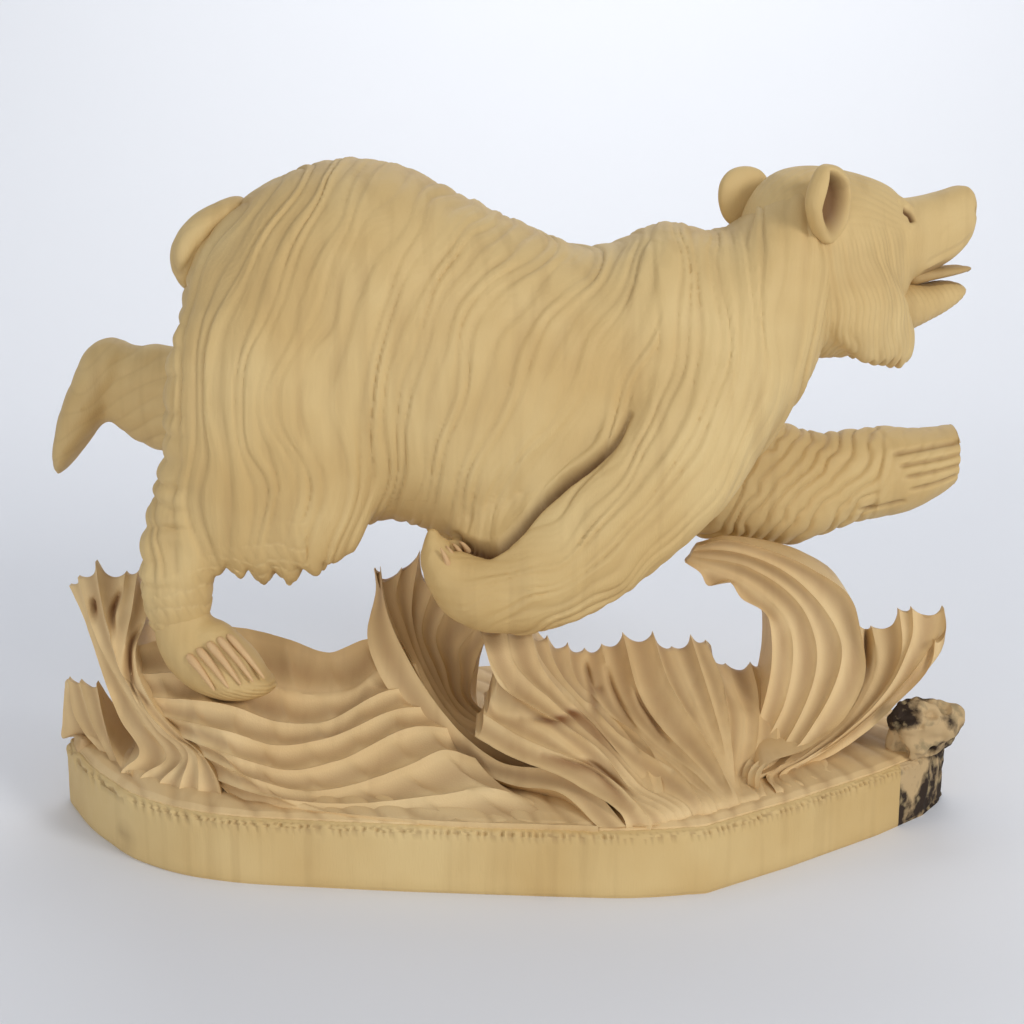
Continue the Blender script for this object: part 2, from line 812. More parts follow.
    def _tufts(self, places: np.ndarray) -> np.ndarray:
        """Rows of short overlapping tufts on the shank.

        Args:
            places: places in millimetres, one row each.

        Returns:
            Height of the tufts, 0 to 1.
        """
        wander = Drift(17, (12.0, 12.0, 12.0)).at(places)
        row = places[:, 2] / 9.0 + 0.5 * wander
        step = np.mod(row, 1.0) ** 0.6
        phase = (places[:, 0] + 0.4 * places[:, 2]) / 6.0 + 0.5 * np.floor(row) + 0.3 * wander
        across = strand(phase, 0.5, 0.7)
        return 0.35 + 0.65 * step * across

    def _ahead_of_seam(self, places: np.ndarray) -> np.ndarray:
        """1 on the neck, shoulder and foreleg, 0 on the barrel and rump.

        Args:
            places: places in millimetres, one row each.

        Returns:
            The share of the front flow at each place.
        """
        seam = np.array(self.seam, float)
        turn = math.radians(45.0)
        along = np.array([-math.sin(turn), -math.cos(turn)])
        across = np.array([math.cos(turn), -math.sin(turn)])
        flat = places[:, (0, 2)]
        here = through(seam @ along, seam @ across, flat @ along)
        return ease(flat @ across - here, -2.0, 5.0)

    def make(self, wood: bpy.types.Material) -> None:
        """Builds and carves the skin, then saws it into its named pieces.

        Args:
            wood: the bear's finish.
        """
        skin = self.rough_out()
        self.carve(skin)
        LOG.info("bear skin: %d vertices", len(skin.data.vertices))
        shank = part_off(skin, "carved_near_hind_leg", (-160.0, 0.0, 140.0), (-0.35, 0.0, -0.94))
        rear = part_off(skin, "carved_hindquarters", (-62.0, 0.0, 0.0), (-1.0, 0.0, 0.0))
        neck = part_off(skin, "carved_neck", (98.0, 0.0, 0.0), (1.0, 0.0, 0.0))
        chest = part_off(skin, "carved_chest", (22.0, 0.0, 0.0), (1.0, 0.0, 0.0))
        belly = part_off(skin, "belly", (-8.0, 0.0, 0.0), (-1.0, 0.0, 0.0))
        beside = part_off(belly, "beside", (0.0, -46.0, 0.0), (0.0, -1.0, 0.0))
        paw = part_off(beside, "carved_near_forepaw", (0.0, 0.0, 170.0), (0.0, 0.0, -1.0))
        under = part_off(skin, "under", (20.0, 0.0, 184.0), (0.72, 0.0, -0.69))
        low_leg = part_off(under, "low_leg", (0.0, -20.0, 0.0), (0.0, -1.0, 0.0))
        breast = part_off(chest, "breast", (20.0, 0.0, 184.0), (0.72, 0.0, -0.69))
        high_leg = part_off(breast, "high_leg", (0.0, -20.0, 0.0), (0.0, -1.0, 0.0))
        barrel = merged("carved_barrel", [skin, belly, beside, under])
        chest = merged("carved_chest", [chest, breast])
        leg = merged("carved_near_foreleg", [low_leg, high_leg])
        finished = ((shank, "near_hind_leg"), (rear, "hindquarters"), (neck, "neck"), (barrel, "barrel"),
                    (chest, "chest"), (leg, "near_foreleg"), (paw, "near_forepaw"))
        for piece, node in finished:
            dress(piece, wood, (node,))


# ---- the head ----------------------------------------------------------------------------------
def stroke(piece: bpy.types.Object, line: tuple[Flat, ...], flat: np.ndarray, wide: float, deep: float,
           only: np.ndarray | float = 1.0) -> np.ndarray:
    """Cuts a groove along a drawn line.

    Args:
        piece: the piece to cut.
        line: the groove's middle, in the plane that flat is measured in.
        flat: the vertices' places in that plane.
        wide: half width of the groove in millimetres.
        deep: its depth in millimetres, negative for a raised welt.
        only: share of the cut that each vertex takes.

    Returns:
        How far each vertex lies in the groove, 0 to 1.
    """
    away, part = nearest_on(line, flat)
    mark = np.exp(-((away / wide) ** 2)) * ease(part, -0.02, 0.15) * (1.0 - ease(part, 0.85, 1.02)) * only
    move_to(piece, places_of(piece) - normals_of(piece) * (deep * mark)[:, None])
    return mark


@dataclass
class BearHead:
    """Skull, muzzle, open mouth, ruff and ears, turned a little from the bear's heading.

    Stations are reach along the muzzle, underside, crown and half width, from the pivot.
    """

    pivot: Point = (150.0, 5.0, 285.0)
    yaw_deg: float = 25.0
    skull: tuple[tuple[float, ...], ...] = (
        (-36.0, -40.0, 30.0, 25.0),
        (-18.0, -48.0, 42.0, 32.0),
        (0.0, -52.0, 44.5, 34.0),
        (18.0, -54.0, 42.0, 31.0),
        (34.0, -50.0, 38.0, 25.0),
        (46.0, -42.0, 34.0, 20.0),
        (55.0, -32.0, 29.0, 17.0),
        (62.0, -22.0, 26.0, 15.0),
    )
    muzzle: tuple[tuple[float, ...], ...] = (
        (44.0, -16.0, 29.0, 19.0),
        (56.0, -16.0, 26.5, 18.0),
        (68.0, -14.0, 27.5, 16.0),
        (80.0, -10.0, 29.5, 14.5),
        (90.0, -4.5, 32.0, 13.0),
        (97.0, 1.0, 33.5, 11.5),
        (102.0, 6.0, 31.5, 8.5),
    )
    jaw: tuple[tuple[float, ...], ...] = (
        (40.0, -46.0, -18.0, 20.0),
        (56.0, -43.0, -17.0, 17.0),
        (72.0, -38.0, -18.5, 13.0),
        (84.0, -33.5, -17.5, 10.5),
        (93.0, -28.5, -18.5, 8.5),
        (99.0, -24.5, -20.5, 6.0),
    )
    tongue: tuple[tuple[float, ...], ...] = (
        (58.0, -20.0, -9.0, 9.0),
        (74.0, -17.0, -9.5, 8.5),
        (88.0, -15.0, -9.5, 7.5),
        (97.0, -13.5, -9.5, 6.0),
        (102.0, -12.5, -10.0, 4.0),
    )

    def _turned(self, name: str, rows: tuple[tuple[float, ...], ...], square: float, rings: int = 56,
                blunt: float = 9.0) -> bpy.types.Object:
        """Draws a ball out along the muzzle through upright sections.

        Args:
            name: the block's name.
            rows: reach, lowest, highest and half width of each section.
            square: power of the section; less than 1 is squarer.
            rings: faces along the block.
            blunt: how suddenly the ends close.

        Returns:
            The closed block.
        """
        table = np.array(rows)
        piece = ball(name, 56, rings)
        start = places_of(piece) * MM
        reach = (1.0 - np.clip(start[:, 2], -1.0, 1.0)) / 2.0
        turn = np.arctan2(start[:, 1], start[:, 0])
        here = through(table[:, 0], table, table[0, 0] + (table[-1, 0] - table[0, 0]) * reach)
        cap = np.sqrt(np.clip(1.0 - np.abs(2.0 * reach - 1.0) ** blunt, 0.0, 1.0))
        side = here[:, 3] * cap * np.sign(np.sin(turn)) * np.abs(np.sin(turn)) ** square
        tall = np.sign(np.cos(turn)) * np.abs(np.cos(turn)) ** square
        height = (here[:, 1] + here[:, 2]) / 2.0 + (here[:, 2] - here[:, 1]) / 2.0 * cap * tall
        move_to(piece, self.world(np.stack([here[:, 0], side, height], axis=1)))
        turn_outward(piece)
        return piece

    def world(self, local: np.ndarray) -> np.ndarray:
        """Turns reach, side and height from the pivot into the frame's millimetres.

        Args:
            local: reach, side and height, one row each.

        Returns:
            The places.
        """
        turn = math.radians(self.yaw_deg)
        ahead = np.array([math.cos(turn), math.sin(turn), 0.0])
        side = np.array([-math.sin(turn), math.cos(turn), 0.0])
        flat = np.array(self.pivot) + local[:, :1] * ahead + local[:, 1:2] * side
        return flat + local[:, 2:] * [[0.0, 0.0, 1.0]]

    def local(self, places: np.ndarray) -> np.ndarray:
        """Turns the frame's millimetres into reach, side and height from the pivot.

        Args:
            places: places in millimetres, one row each.

        Returns:
            Reach, side and height.
        """
        turn = math.radians(self.yaw_deg)
        ahead = np.array([math.cos(turn), math.sin(turn), 0.0])
        side = np.array([-math.sin(turn), math.cos(turn), 0.0])
        away = places - np.array(self.pivot)
        return np.stack([away @ ahead, away @ side, away[:, 2]], axis=1)

    def _ruff(self, side: float) -> bpy.types.Object:
        """The cheek's hanging hair, on one side.

        Args:
            side: -1 for the near side, 1 for the far side.

        Returns:
            The closed block.
        """
        rows = (
            (-2.0, 24.0 * side, 2.0, 9.0, 14.0),
            (14.0, 26.0 * side, -20.0, 10.0, 22.0),
            (31.0, 23.0 * side, -38.0, 9.0, 20.0),
            (44.0, 18.0 * side, -50.0, 7.0, 13.0),
            (48.0, 15.0 * side, -61.0, 5.0, 6.0),
        )
        piece = drawn("ruff", rows, 32, 36)
        move_to(piece, self.world(places_of(piece)))
        return piece

    def _cheek_hair(self, skull: bpy.types.Object) -> None:
        """Cuts fine hair that falls over the cheeks and runs back over the crown.

        Args:
            skull: the skull to cut.
        """
        places = places_of(skull)
        local = self.local(places)
        normals = normals_of(skull)
        turn = np.arctan2(local[:, 1], local[:, 2] + 10.0)
        wander = 0.6 * Drift(51, (16.0, 16.0, 16.0)).at(places)
        fall = strand((local[:, 0] + 0.28 * local[:, 2]) / 3.1 + 1.6 * wander, 0.45, 0.9)
        locks = strand((local[:, 0] + 0.3 * local[:, 2]) / 11.0 + wander, 0.4, 0.8)
        combed = 0.35 + 0.65 * ease(Drift(52, (14.0, 14.0, 18.0)).at(places), -0.3, 0.3)
        crown = strand(turn * 11.0 + wander, 0.5, 1.0)
        below = 1.0 - ease(local[:, 2], 4.0, 22.0)
        bare = ease(local[:, 0], 40.0, 56.0)
        cheek = 0.42 * combed * (fall - 0.7) + 0.9 * (locks - 0.7)
        lift = (below * cheek + 0.25 * (1.0 - below) * (crown - 0.6)) * (1.0 - bare)
        edge = ease(-local[:, 2], 50.0, 60.0)
        tips = strand((local[:, 0] + 0.2 * local[:, 2]) / 6.5 + 0.4 * wander, 0.5, 0.9)
        places += normals * lift[:, None]
        places[:, 2] += 5.0 * edge * (1.0 - tips) * (1.0 - bare)
        move_to(skull, places)
        write_tone(skull, "cut", 0.3 * below * (1.0 - fall * combed) * (1.0 - bare))

    def _face(self, skull: bpy.types.Object) -> None:
        """Cuts the eyes, nostrils, lips and brow.

        Args:
            skull: the skull to cut.
        """
        tone = read_tone(skull, "cut")
        local = self.local(places_of(skull))
        flat = local[:, (0, 2)]
        for side in (-1.0, 1.0):
            this = ease(local[:, 1] * side, 4.0, 9.0)
            mark = stroke(skull, ((47, 22), (51, 19), (52, 15)), flat, 1.5, 3.2, this)
            stroke(skull, ((44, 27), (50, 26), (55, 21)), flat, 1.6, -1.0, this)
            stroke(skull, ((45, 16), (50, 13), (55, 15)), flat, 1.6, -0.7, this)
            nose = stroke(skull, ((95, 21), (98, 19), (99, 16)), flat, 1.5, 2.6, this)
            stroke(skull, ((68, 6), (78, 12), (88, 15), (95, 13)), flat, 1.8, 0.5, this)
            stroke(skull, ((62, -6), (74, -2), (86, 2), (96, 8)), flat, 1.6, 0.7, this)
            tone += 1.7 * mark + 0.9 * nose
        front = ease(local[:, 0], 92.0, 97.0)
        groove = np.exp(-((local[:, 1] / 1.1) ** 2)) * front
        move_to(skull, places_of(skull) - normals_of(skull) * (0.9 * groove)[:, None])
        mouth = ease(-local[:, 2], 2.0, 9.0) * ease(local[:, 0], 60.0, 66.0) * (np.abs(local[:, 1]) < 12.0)
        write_tone(skull, "cut", np.clip(tone + 0.8 * mouth, 0.0, 1.5))

    def _ear(self, name: str, centre: Point, face: Point, radius: float, thick: float, tall: float,
             tilt_deg: float, point: float) -> bpy.types.Object:
        """Draws one ear: a thick round leaf, hollowed on the side it faces.

        Args:
            name: the ear's name.
            centre: its middle in the frame.
            face: the direction its hollow faces.
            radius: half its width.
            thick: half its thickness.
            tall: height over width.
            tilt_deg: how far its top leans back.
            point: 1 for a pointed top, 0 for a round one.

        Returns:
            The ear.
        """
        piece = ball(name, 72, 64)
        unit = places_of(piece) * MM
        ahead = np.array(face) / np.linalg.norm(face)
        side = np.cross([0.0, 0.0, 1.0], ahead)
        side /= np.linalg.norm(side)
        up = np.cross(ahead, side)
        tilt = math.radians(tilt_deg)
        side, up = side * math.cos(tilt) + up * math.sin(tilt), up * math.cos(tilt) - side * math.sin(tilt)
        narrow = 0.62 * (1.0 - 0.6 * np.clip(unit[:, 1], 0.0, 1.0))
        spread = np.hypot(unit[:, 0] / narrow, unit[:, 1] / 0.72)
        cup = np.where(unit[:, 2] > 0.0, 1.5 * np.exp(-(spread**4)), 0.0)
        depth = thick * (np.sign(unit[:, 2]) * np.abs(unit[:, 2]) ** 0.8 - cup)
        wide = radius * unit[:, 0] * (1.0 - 0.38 * np.clip(unit[:, 1], 0.0, 1.0) ** 1.5 * point)
        high = radius * tall * unit[:, 1] * (1.0 - 0.16 * unit[:, 1])
        places = np.array(centre) + depth[:, None] * ahead + wide[:, None] * side + high[:, None] * up
        marks = 0.25 * Drift(61, (6.0, 6.0, 6.0)).at(places)
        move_to(piece, places)
        turn_outward(piece)
        move_to(piece, places + normals_of(piece) * marks[:, None])
        write_tone(piece, "cut", np.clip(cup * 1.05, 0.0, 1.5))
        return piece

    def make(self, wood: bpy.types.Material) -> None:
        """Builds and dresses the head's pieces.

        Args:
            wood: the bear's finish.
        """
        blocks = [self._turned("skull", self.skull, 0.95), self._turned("muzzle", self.muzzle, 0.86)]
        blocks += [self._ruff(-1.0), self._ruff(1.0)]
        skull = fused("carved_skull", blocks, 2.9, 5, 2)
        self._cheek_hair(skull)
        self._face(skull)
        dress(skull, wood, ("head",))
        jaw = fused("carved_jaw", [self._turned("jaw", self.jaw, 0.9)], 1.6, 3, 1)
        places = places_of(jaw)
        local = self.local(places)
        ridge = 0.3 * strand(local[:, 0] / 4.0 + 0.1 * local[:, 2], 0.5, 0.9)
        move_to(jaw, places + normals_of(jaw) * ridge[:, None])
        write_tone(jaw, "cut", 0.7 * ease(local[:, 2], -21.0, -19.0) * (np.abs(local[:, 1]) < 6.0))
        dress(jaw, wood, ("lower_jaw",))
        tongue = self._turned("carved_tongue", self.tongue, 0.9, 40)
        local = self.local(places_of(tongue))
        dip = np.exp(-((local[:, 1] / 2.2) ** 2)) * (local[:, 2] > -12.5)
        move_to(tongue, places_of(tongue) - np.outer(1.2 * dip, [0.0, 0.0, 1.0]))
        write_tone(tongue, "cut", 0.5 + 0.3 * dip)
        dress(tongue, wood, ("tongue",))
        near = self._ear("cupped_ear_near", (153.0, -33.0, 316.0), (0.74, -0.67, -0.12), 15.5, 7.5, 1.35,
                         24.0, 1.0)
        dress(near, wood, ("near_ear",))
        far = self._ear("cupped_ear_far", (118.9, 24.0, 314.3), (-0.55, 1.0, 0.0), 15.5, 6.0, 1.05, 0.0, 0.0)
        dress(far, wood, ("far_ear",))


# ---- limbs cut on their own ------------------------------------------------------------------------
@dataclass(frozen=True)
class FarForeleg:
    """The stretched far foreleg, with its slanting tufts, smooth cuff and toe grooves."""

    stations: tuple[tuple[float, ...], ...] = (
        (72.0, 22.0, 200.0, 20.0, 30.0),
        (96.0, 36.0, 176.0, 24.0, 42.0),
        (125.0, 47.0, 160.0, 26.0, 37.0),
        (152.0, 54.0, 154.0, 25.0, 33.0),
        (174.0, 58.0, 156.0, 24.0, 27.0),
        (196.0, 61.0, 160.0, 25.0, 24.5),
        (214.0, 63.0, 161.5, 26.0, 22.5),
        (228.0, 64.0, 165.5, 25.0, 18.0),
        (236.0, 65.0, 168.5, 23.0, 15.5),
        (243.0, 65.0, 171.5, 21.0, 13.0),
        (254.0, 65.0, 174.0, 19.0, 11.0),
    )
    toes: tuple[tuple[Flat, ...], ...] = (
        ((203, 174), (222, 177), (244, 180)),
        ((206, 168), (224, 171), (244, 174)),
        ((209, 162), (226, 165), (244, 168)),
        ((213, 155), (228, 158), (243, 162)),
        ((186, 143), (198, 145), (214, 149)),
    )
    cuff_x: float = 198.0
    sawn_x: float = 242.0
    wrist_x: float = 188.0

    def make(self, wood: bpy.types.Material) -> None:
        """Builds, carves, parts and dresses the leg.

        Args:
            wood: the bear's finish.
        """
        leg = fused("far_leg", [drawn("far_leg", self.stations, blunt=70.0)], 3.0, 3, 2)
        places = places_of(leg)
        normals = normals_of(leg)
        wander = Drift(33, (20.0, 20.0, 20.0)).at(places) + 0.5 * Drift(34, (8.0, 8.0, 8.0)).at(places)
        phase = (0.86 * places[:, 0] - 0.62 * places[:, 2]) / 8.0 + 0.7 * wander
        tufts = strand(phase, 0.35, 0.75)
        edge = self.cuff_x + 1.2 * wander + 0.12 * (places[:, 2] - 160.0)
        cuff = ease(places[:, 0], edge - 1.5, edge + 1.5)
        lift = 1.9 * (tufts - 0.7) * (1.0 - 0.8 * cuff) + 1.2 * cuff
        places = places + normals * lift[:, None]
        places[:, 0] = np.minimum(places[:, 0], self.sawn_x + 0.3 * wander)
        move_to(leg, places)
        tone = 0.5 * (1.0 - tufts) ** 2 * (1.0 - 0.7 * cuff)
        for line in self.toes:
            near = ease(-normals[:, 1], -0.2, 0.3)
            tone += 0.6 * stroke(leg, line, places_of(leg)[:, (0, 2)], 1.3, 1.6, near)
        write_tone(leg, "cut", np.clip(tone, 0.0, 1.4))
        paw = part_off(leg, "carved_far_forepaw", (self.wrist_x, 0.0, 0.0), (1.0, 0.0, 0.0))
        leg.name = "carved_far_foreleg"
        dress(leg, wood, ("far_foreleg",))
        dress(paw, wood, ("far_forepaw",))


@dataclass(frozen=True)
class FarHindLeg:
    """The far hind leg kicked out behind, its sole turned up."""

    leg: tuple[tuple[float, ...], ...] = (
        (-128.0, 36.0, 214.0, 26.0, 34.0),
        (-160.0, 42.0, 203.0, 24.0, 31.0),
        (-184.0, 45.0, 204.0, 21.0, 29.0),
        (-202.0, 46.0, 212.0, 18.0, 25.0),
        (-215.0, 47.0, 221.0, 15.0, 19.0),
    )
    paw: tuple[tuple[float, ...], ...] = (
        (-209.0, 47.0, 236.0, 13.0, 9.0),
        (-215.0, 47.0, 224.0, 18.0, 14.0),
        (-224.0, 47.0, 208.0, 20.0, 13.0),
        (-235.0, 48.0, 188.0, 20.0, 10.5),
        (-243.0, 48.0, 171.0, 16.0, 6.0),
        (-247.0, 48.0, 161.0, 9.0, 3.0),
    )

    def make(self, wood: bpy.types.Material) -> None:
        """Builds, carves, parts and dresses the leg.

        Args:
            wood: the bear's finish.
        """
        blocks = [drawn("kick", self.leg, blunt=12.0), drawn("sole", self.paw, blunt=10.0)]
        leg = fused("kick", blocks, 3.0, 6, 2)
        places = places_of(leg)
        normals = normals_of(leg)
        wander = Drift(36, (18.0, 18.0, 18.0)).at(places)
        groove = strand((0.5 * places[:, 0] - 0.86 * places[:, 2]) / 9.0 + 0.5 * wander, 0.5, 0.8)
        on_leg = ease(places[:, 0], -214.0, -200.0)
        lift = (0.35 + 0.5 * on_leg) * (groove - 0.7) + 0.25 * Drift(37, (6.0, 6.0, 6.0)).at(places)
        move_to(leg, places + normals * lift[:, None])
        write_tone(leg, "cut", 0.25 * (1.0 - groove))
        paw = part_off(leg, "carved_far_hind_paw", (-207.0, 0.0, 226.0), (-0.8, 0.0, -0.25))
        leg.name = "carved_far_hind_leg"
        dress(leg, wood, ("far_hind_leg",))
        dress(paw, wood, ("far_hind_paw",))


@dataclass(frozen=True)
class NearHindPaw:
    """The near hind paw on its mound, with five long claws."""

    stations: tuple[tuple[float, ...], ...] = (
        (-166.0, -46.0, 118.0, 14.0, 15.0),
        (-164.0, -48.0, 102.0, 14.6, 15.2),
        (-158.0, -51.0, 91.0, 17.0, 15.5),
        (-147.0, -54.0, 84.0, 19.0, 14.0),
        (-134.0, -56.0, 80.0, 19.0, 11.0),
        (-124.0, -57.0, 78.0, 15.0, 7.0),
        (-117.0, -57.0, 77.0, 10.0, 3.5),
    )
    instep: tuple[tuple[float, ...], ...] = (
        (-156.0, -50.0, 106.0, 10.0, 8.0),
        (-147.0, -53.0, 99.0, 13.0, 9.5),
        (-135.0, -57.0, 89.5, 14.0, 8.0),
        (-124.0, -60.0, 82.0, 10.5, 5.0),
    )
    claws: tuple[tuple[Point, Point], ...] = (
        ((-160.0, -67.0, 96.0), (-146.0, -74.5, 79.5)),
        ((-155.0, -66.5, 99.0), (-139.0, -75.0, 81.0)),
        ((-150.0, -66.0, 102.0), (-133.0, -74.5, 82.5)),
        ((-145.0, -64.5, 104.0), (-127.0, -73.0, 83.5)),
        ((-141.0, -61.5, 104.5), (-122.0, -69.5, 84.0)),
    )
    fore_claws: tuple[tuple[Point, Point], ...] = (
        ((-30.0, -79.0, 143.0), (-34.5, -79.0, 153.5)),
        ((-27.0, -73.0, 144.0), (-32.0, -73.5, 153.0)),
        ((-24.0, -67.0, 145.0), (-29.0, -67.5, 152.5)),
        ((-21.0, -61.0, 146.0), (-26.0, -62.0, 152.0)),
    )

    def make(self, wood: bpy.types.Material, claw: bpy.types.Material) -> None:
        """Builds the paw and its claws.

        Args:
            wood: the bear's finish.
            claw: the claws' finish.
        """
        blocks = [drawn("paw", self.stations), drawn("instep", self.instep)]
        paw = fused("carved_near_hind_paw", blocks, 2.4, 4, 2)
        places = places_of(paw)
        normals = normals_of(paw)
        wander = Drift(41, (9.0, 9.0, 9.0)).at(places)
        hatch = strand((places[:, 2] + 0.35 * places[:, 0]) / 2.3 + 0.3 * wander, 0.5, 1.0)
        low = 1.0 - ease(places[:, 2] - 0.15 * (places[:, 0] + 140.0), 76.0, 82.0)
        lift = 0.5 * low * (hatch - 0.5) + 0.35 * wander * (1.0 - low)
        move_to(paw, places + normals * lift[:, None])
        write_tone(paw, "cut", 0.45 * low * (1.0 - hatch))
        dress(paw, wood, ("near_hind_paw",))
        made = [tapered("claw", root, tip, 2.3, 0.9) for root, tip in self.claws]
        joined = merged("cut_hind_claws", made)
        write_tone(joined, "cut", np.full(len(joined.data.vertices), 0.1))
        dress(joined, claw, ("near_hind_claws",))
        made = [tapered("claw", root, tip, 1.7, 0.5) for root, tip in self.fore_claws]
        joined = merged("cut_fore_claws", made)
        write_tone(joined, "cut", np.full(len(joined.data.vertices), 0.25))
        dress(joined, claw, ("near_forepaw_claws",))


def tapered(name: str, root: Point, tip: Point, thick: float, thin: float) -> bpy.types.Object:
    """Draws a claw that narrows and arches a little from its root to its tip.

    Args:
        name: the claw's name.
        root: middle of its root.
        tip: middle of its tip.
        thick: radius at its root.
        thin: radius at its tip.

    Returns:
        The claw.
    """
    start = np.array(root)
    end = np.array(tip)
    rows = []
    for part in (0.0, 0.25, 0.5, 0.75, 1.0):
        middle = start + (end - start) * part + np.array([0.0, -0.8, 1.2]) * math.sin(math.pi * part)
        radius = thick + (thin - thick) * part
        rows.append((*middle, radius, radius * 1.05))
    return drawn(name, tuple(rows), 18, 28, 6.0)


def merged(name: str, blocks: list[bpy.types.Object]) -> bpy.types.Object:
    """Joins separate blocks into one named piece without fusing them.

    Args:
        name: the piece's name.
        blocks: the blocks to join.

    Returns:
        The piece.
    """
    clear_selection()
    for block in blocks:
        block.select_set(True)
    bpy.context.view_layer.objects.active = blocks[0]
    bpy.ops.object.join()
    piece = bpy.context.active_object
    piece.name = name
    pick(piece)
    bpy.ops.object.transform_apply(location=True, rotation=True, scale=True)
    return piece


def part_off(piece: bpy.types.Object, name: str, spot: Point, way: Point) -> bpy.types.Object:
    """Saws a piece in two along a plane; both parts are closed.

    Args:
        piece: the piece; it keeps the side behind the plane.
        name: name of the part cut off.
        spot: a point of the plane, in millimetres.
        way: the plane's direction; the part cut off lies on this side.

    Returns:
        The part cut off.
    """
    pick(piece)
    bpy.ops.object.duplicate()
    other = bpy.context.active_object
    other.name = name
    for side, behind in ((piece, True), (other, False)):
        pick(side)
        bpy.ops.object.mode_set(mode="EDIT")
        bpy.ops.mesh.select_all(action="SELECT")
        bpy.ops.mesh.bisect(plane_co=tuple(v * MM for v in spot), plane_no=way, use_fill=True,
                            clear_inner=not behind, clear_outer=behind)
        bpy.ops.object.mode_set(mode="OBJECT")
    return other


@dataclass(frozen=True)
class Tail:
    """The short tail, a flap that hangs over the rump."""

    stations: tuple[tuple[float, ...], ...] = (
        (-132.0, -3.0, 313.0, 10.0, 5.0),
        (-144.0, -5.0, 306.0, 13.0, 7.0),
        (-156.0, -7.0, 297.0, 15.0, 8.5),
        (-163.0, -8.0, 285.0, 14.0, 8.0),
        (-163.0, -8.0, 275.0, 9.0, 5.5),
        (-160.0, -8.0, 267.0, 5.0, 3.5),
    )

    def make(self, wood: bpy.types.Material) -> None:
        """Builds and dresses the tail.

        Args:
            wood: the bear's finish.
        """
        tail = fused("carved_tail", [drawn("tail", self.stations)], 2.6, 4, 2)
        places = places_of(tail)
        wander = Drift(45, (14.0, 14.0, 14.0)).at(places)
        hair = strand(places[:, 1] / 6.5 + 0.05 * places[:, 0] + 0.5 * wander, 0.5, 0.8)
        low = 1.0 - ease(places[:, 2], 272.0, 296.0)
        move_to(tail, places + normals_of(tail) * ((0.4 + 0.7 * low) * (hair - 0.7))[:, None])
        write_tone(tail, "cut", 0.35 * (1.0 - hair) * (0.4 + low))
        dress(tail, wood, ("tail",))


# ---- the carved base -------------------------------------------------------------------------------
def shut_ends(piece: bpy.types.Object, poles: np.ndarray) -> None:
    """Takes the poles off a drawn-out ball and welds its pinched ends shut.

    Args:
        piece: the drawn-out ball.
        poles: true for each vertex that is a pole.
    """
    pick(piece)
    bpy.ops.object.mode_set(mode="EDIT")
    bpy.ops.mesh.select_mode(type="VERT")
    bpy.ops.mesh.select_all(action="DESELECT")
    bpy.ops.object.mode_set(mode="OBJECT")
    piece.data.vertices.foreach_set("select", poles)
    bpy.ops.object.mode_set(mode="EDIT")
    bpy.ops.mesh.delete(type="VERT")
    bpy.ops.mesh.select_all(action="SELECT")
    bpy.ops.mesh.remove_doubles(threshold=0.02 * MM)
    bpy.ops.mesh.normals_make_consistent(inside=False)
    bpy.ops.object.mode_set(mode="OBJECT")


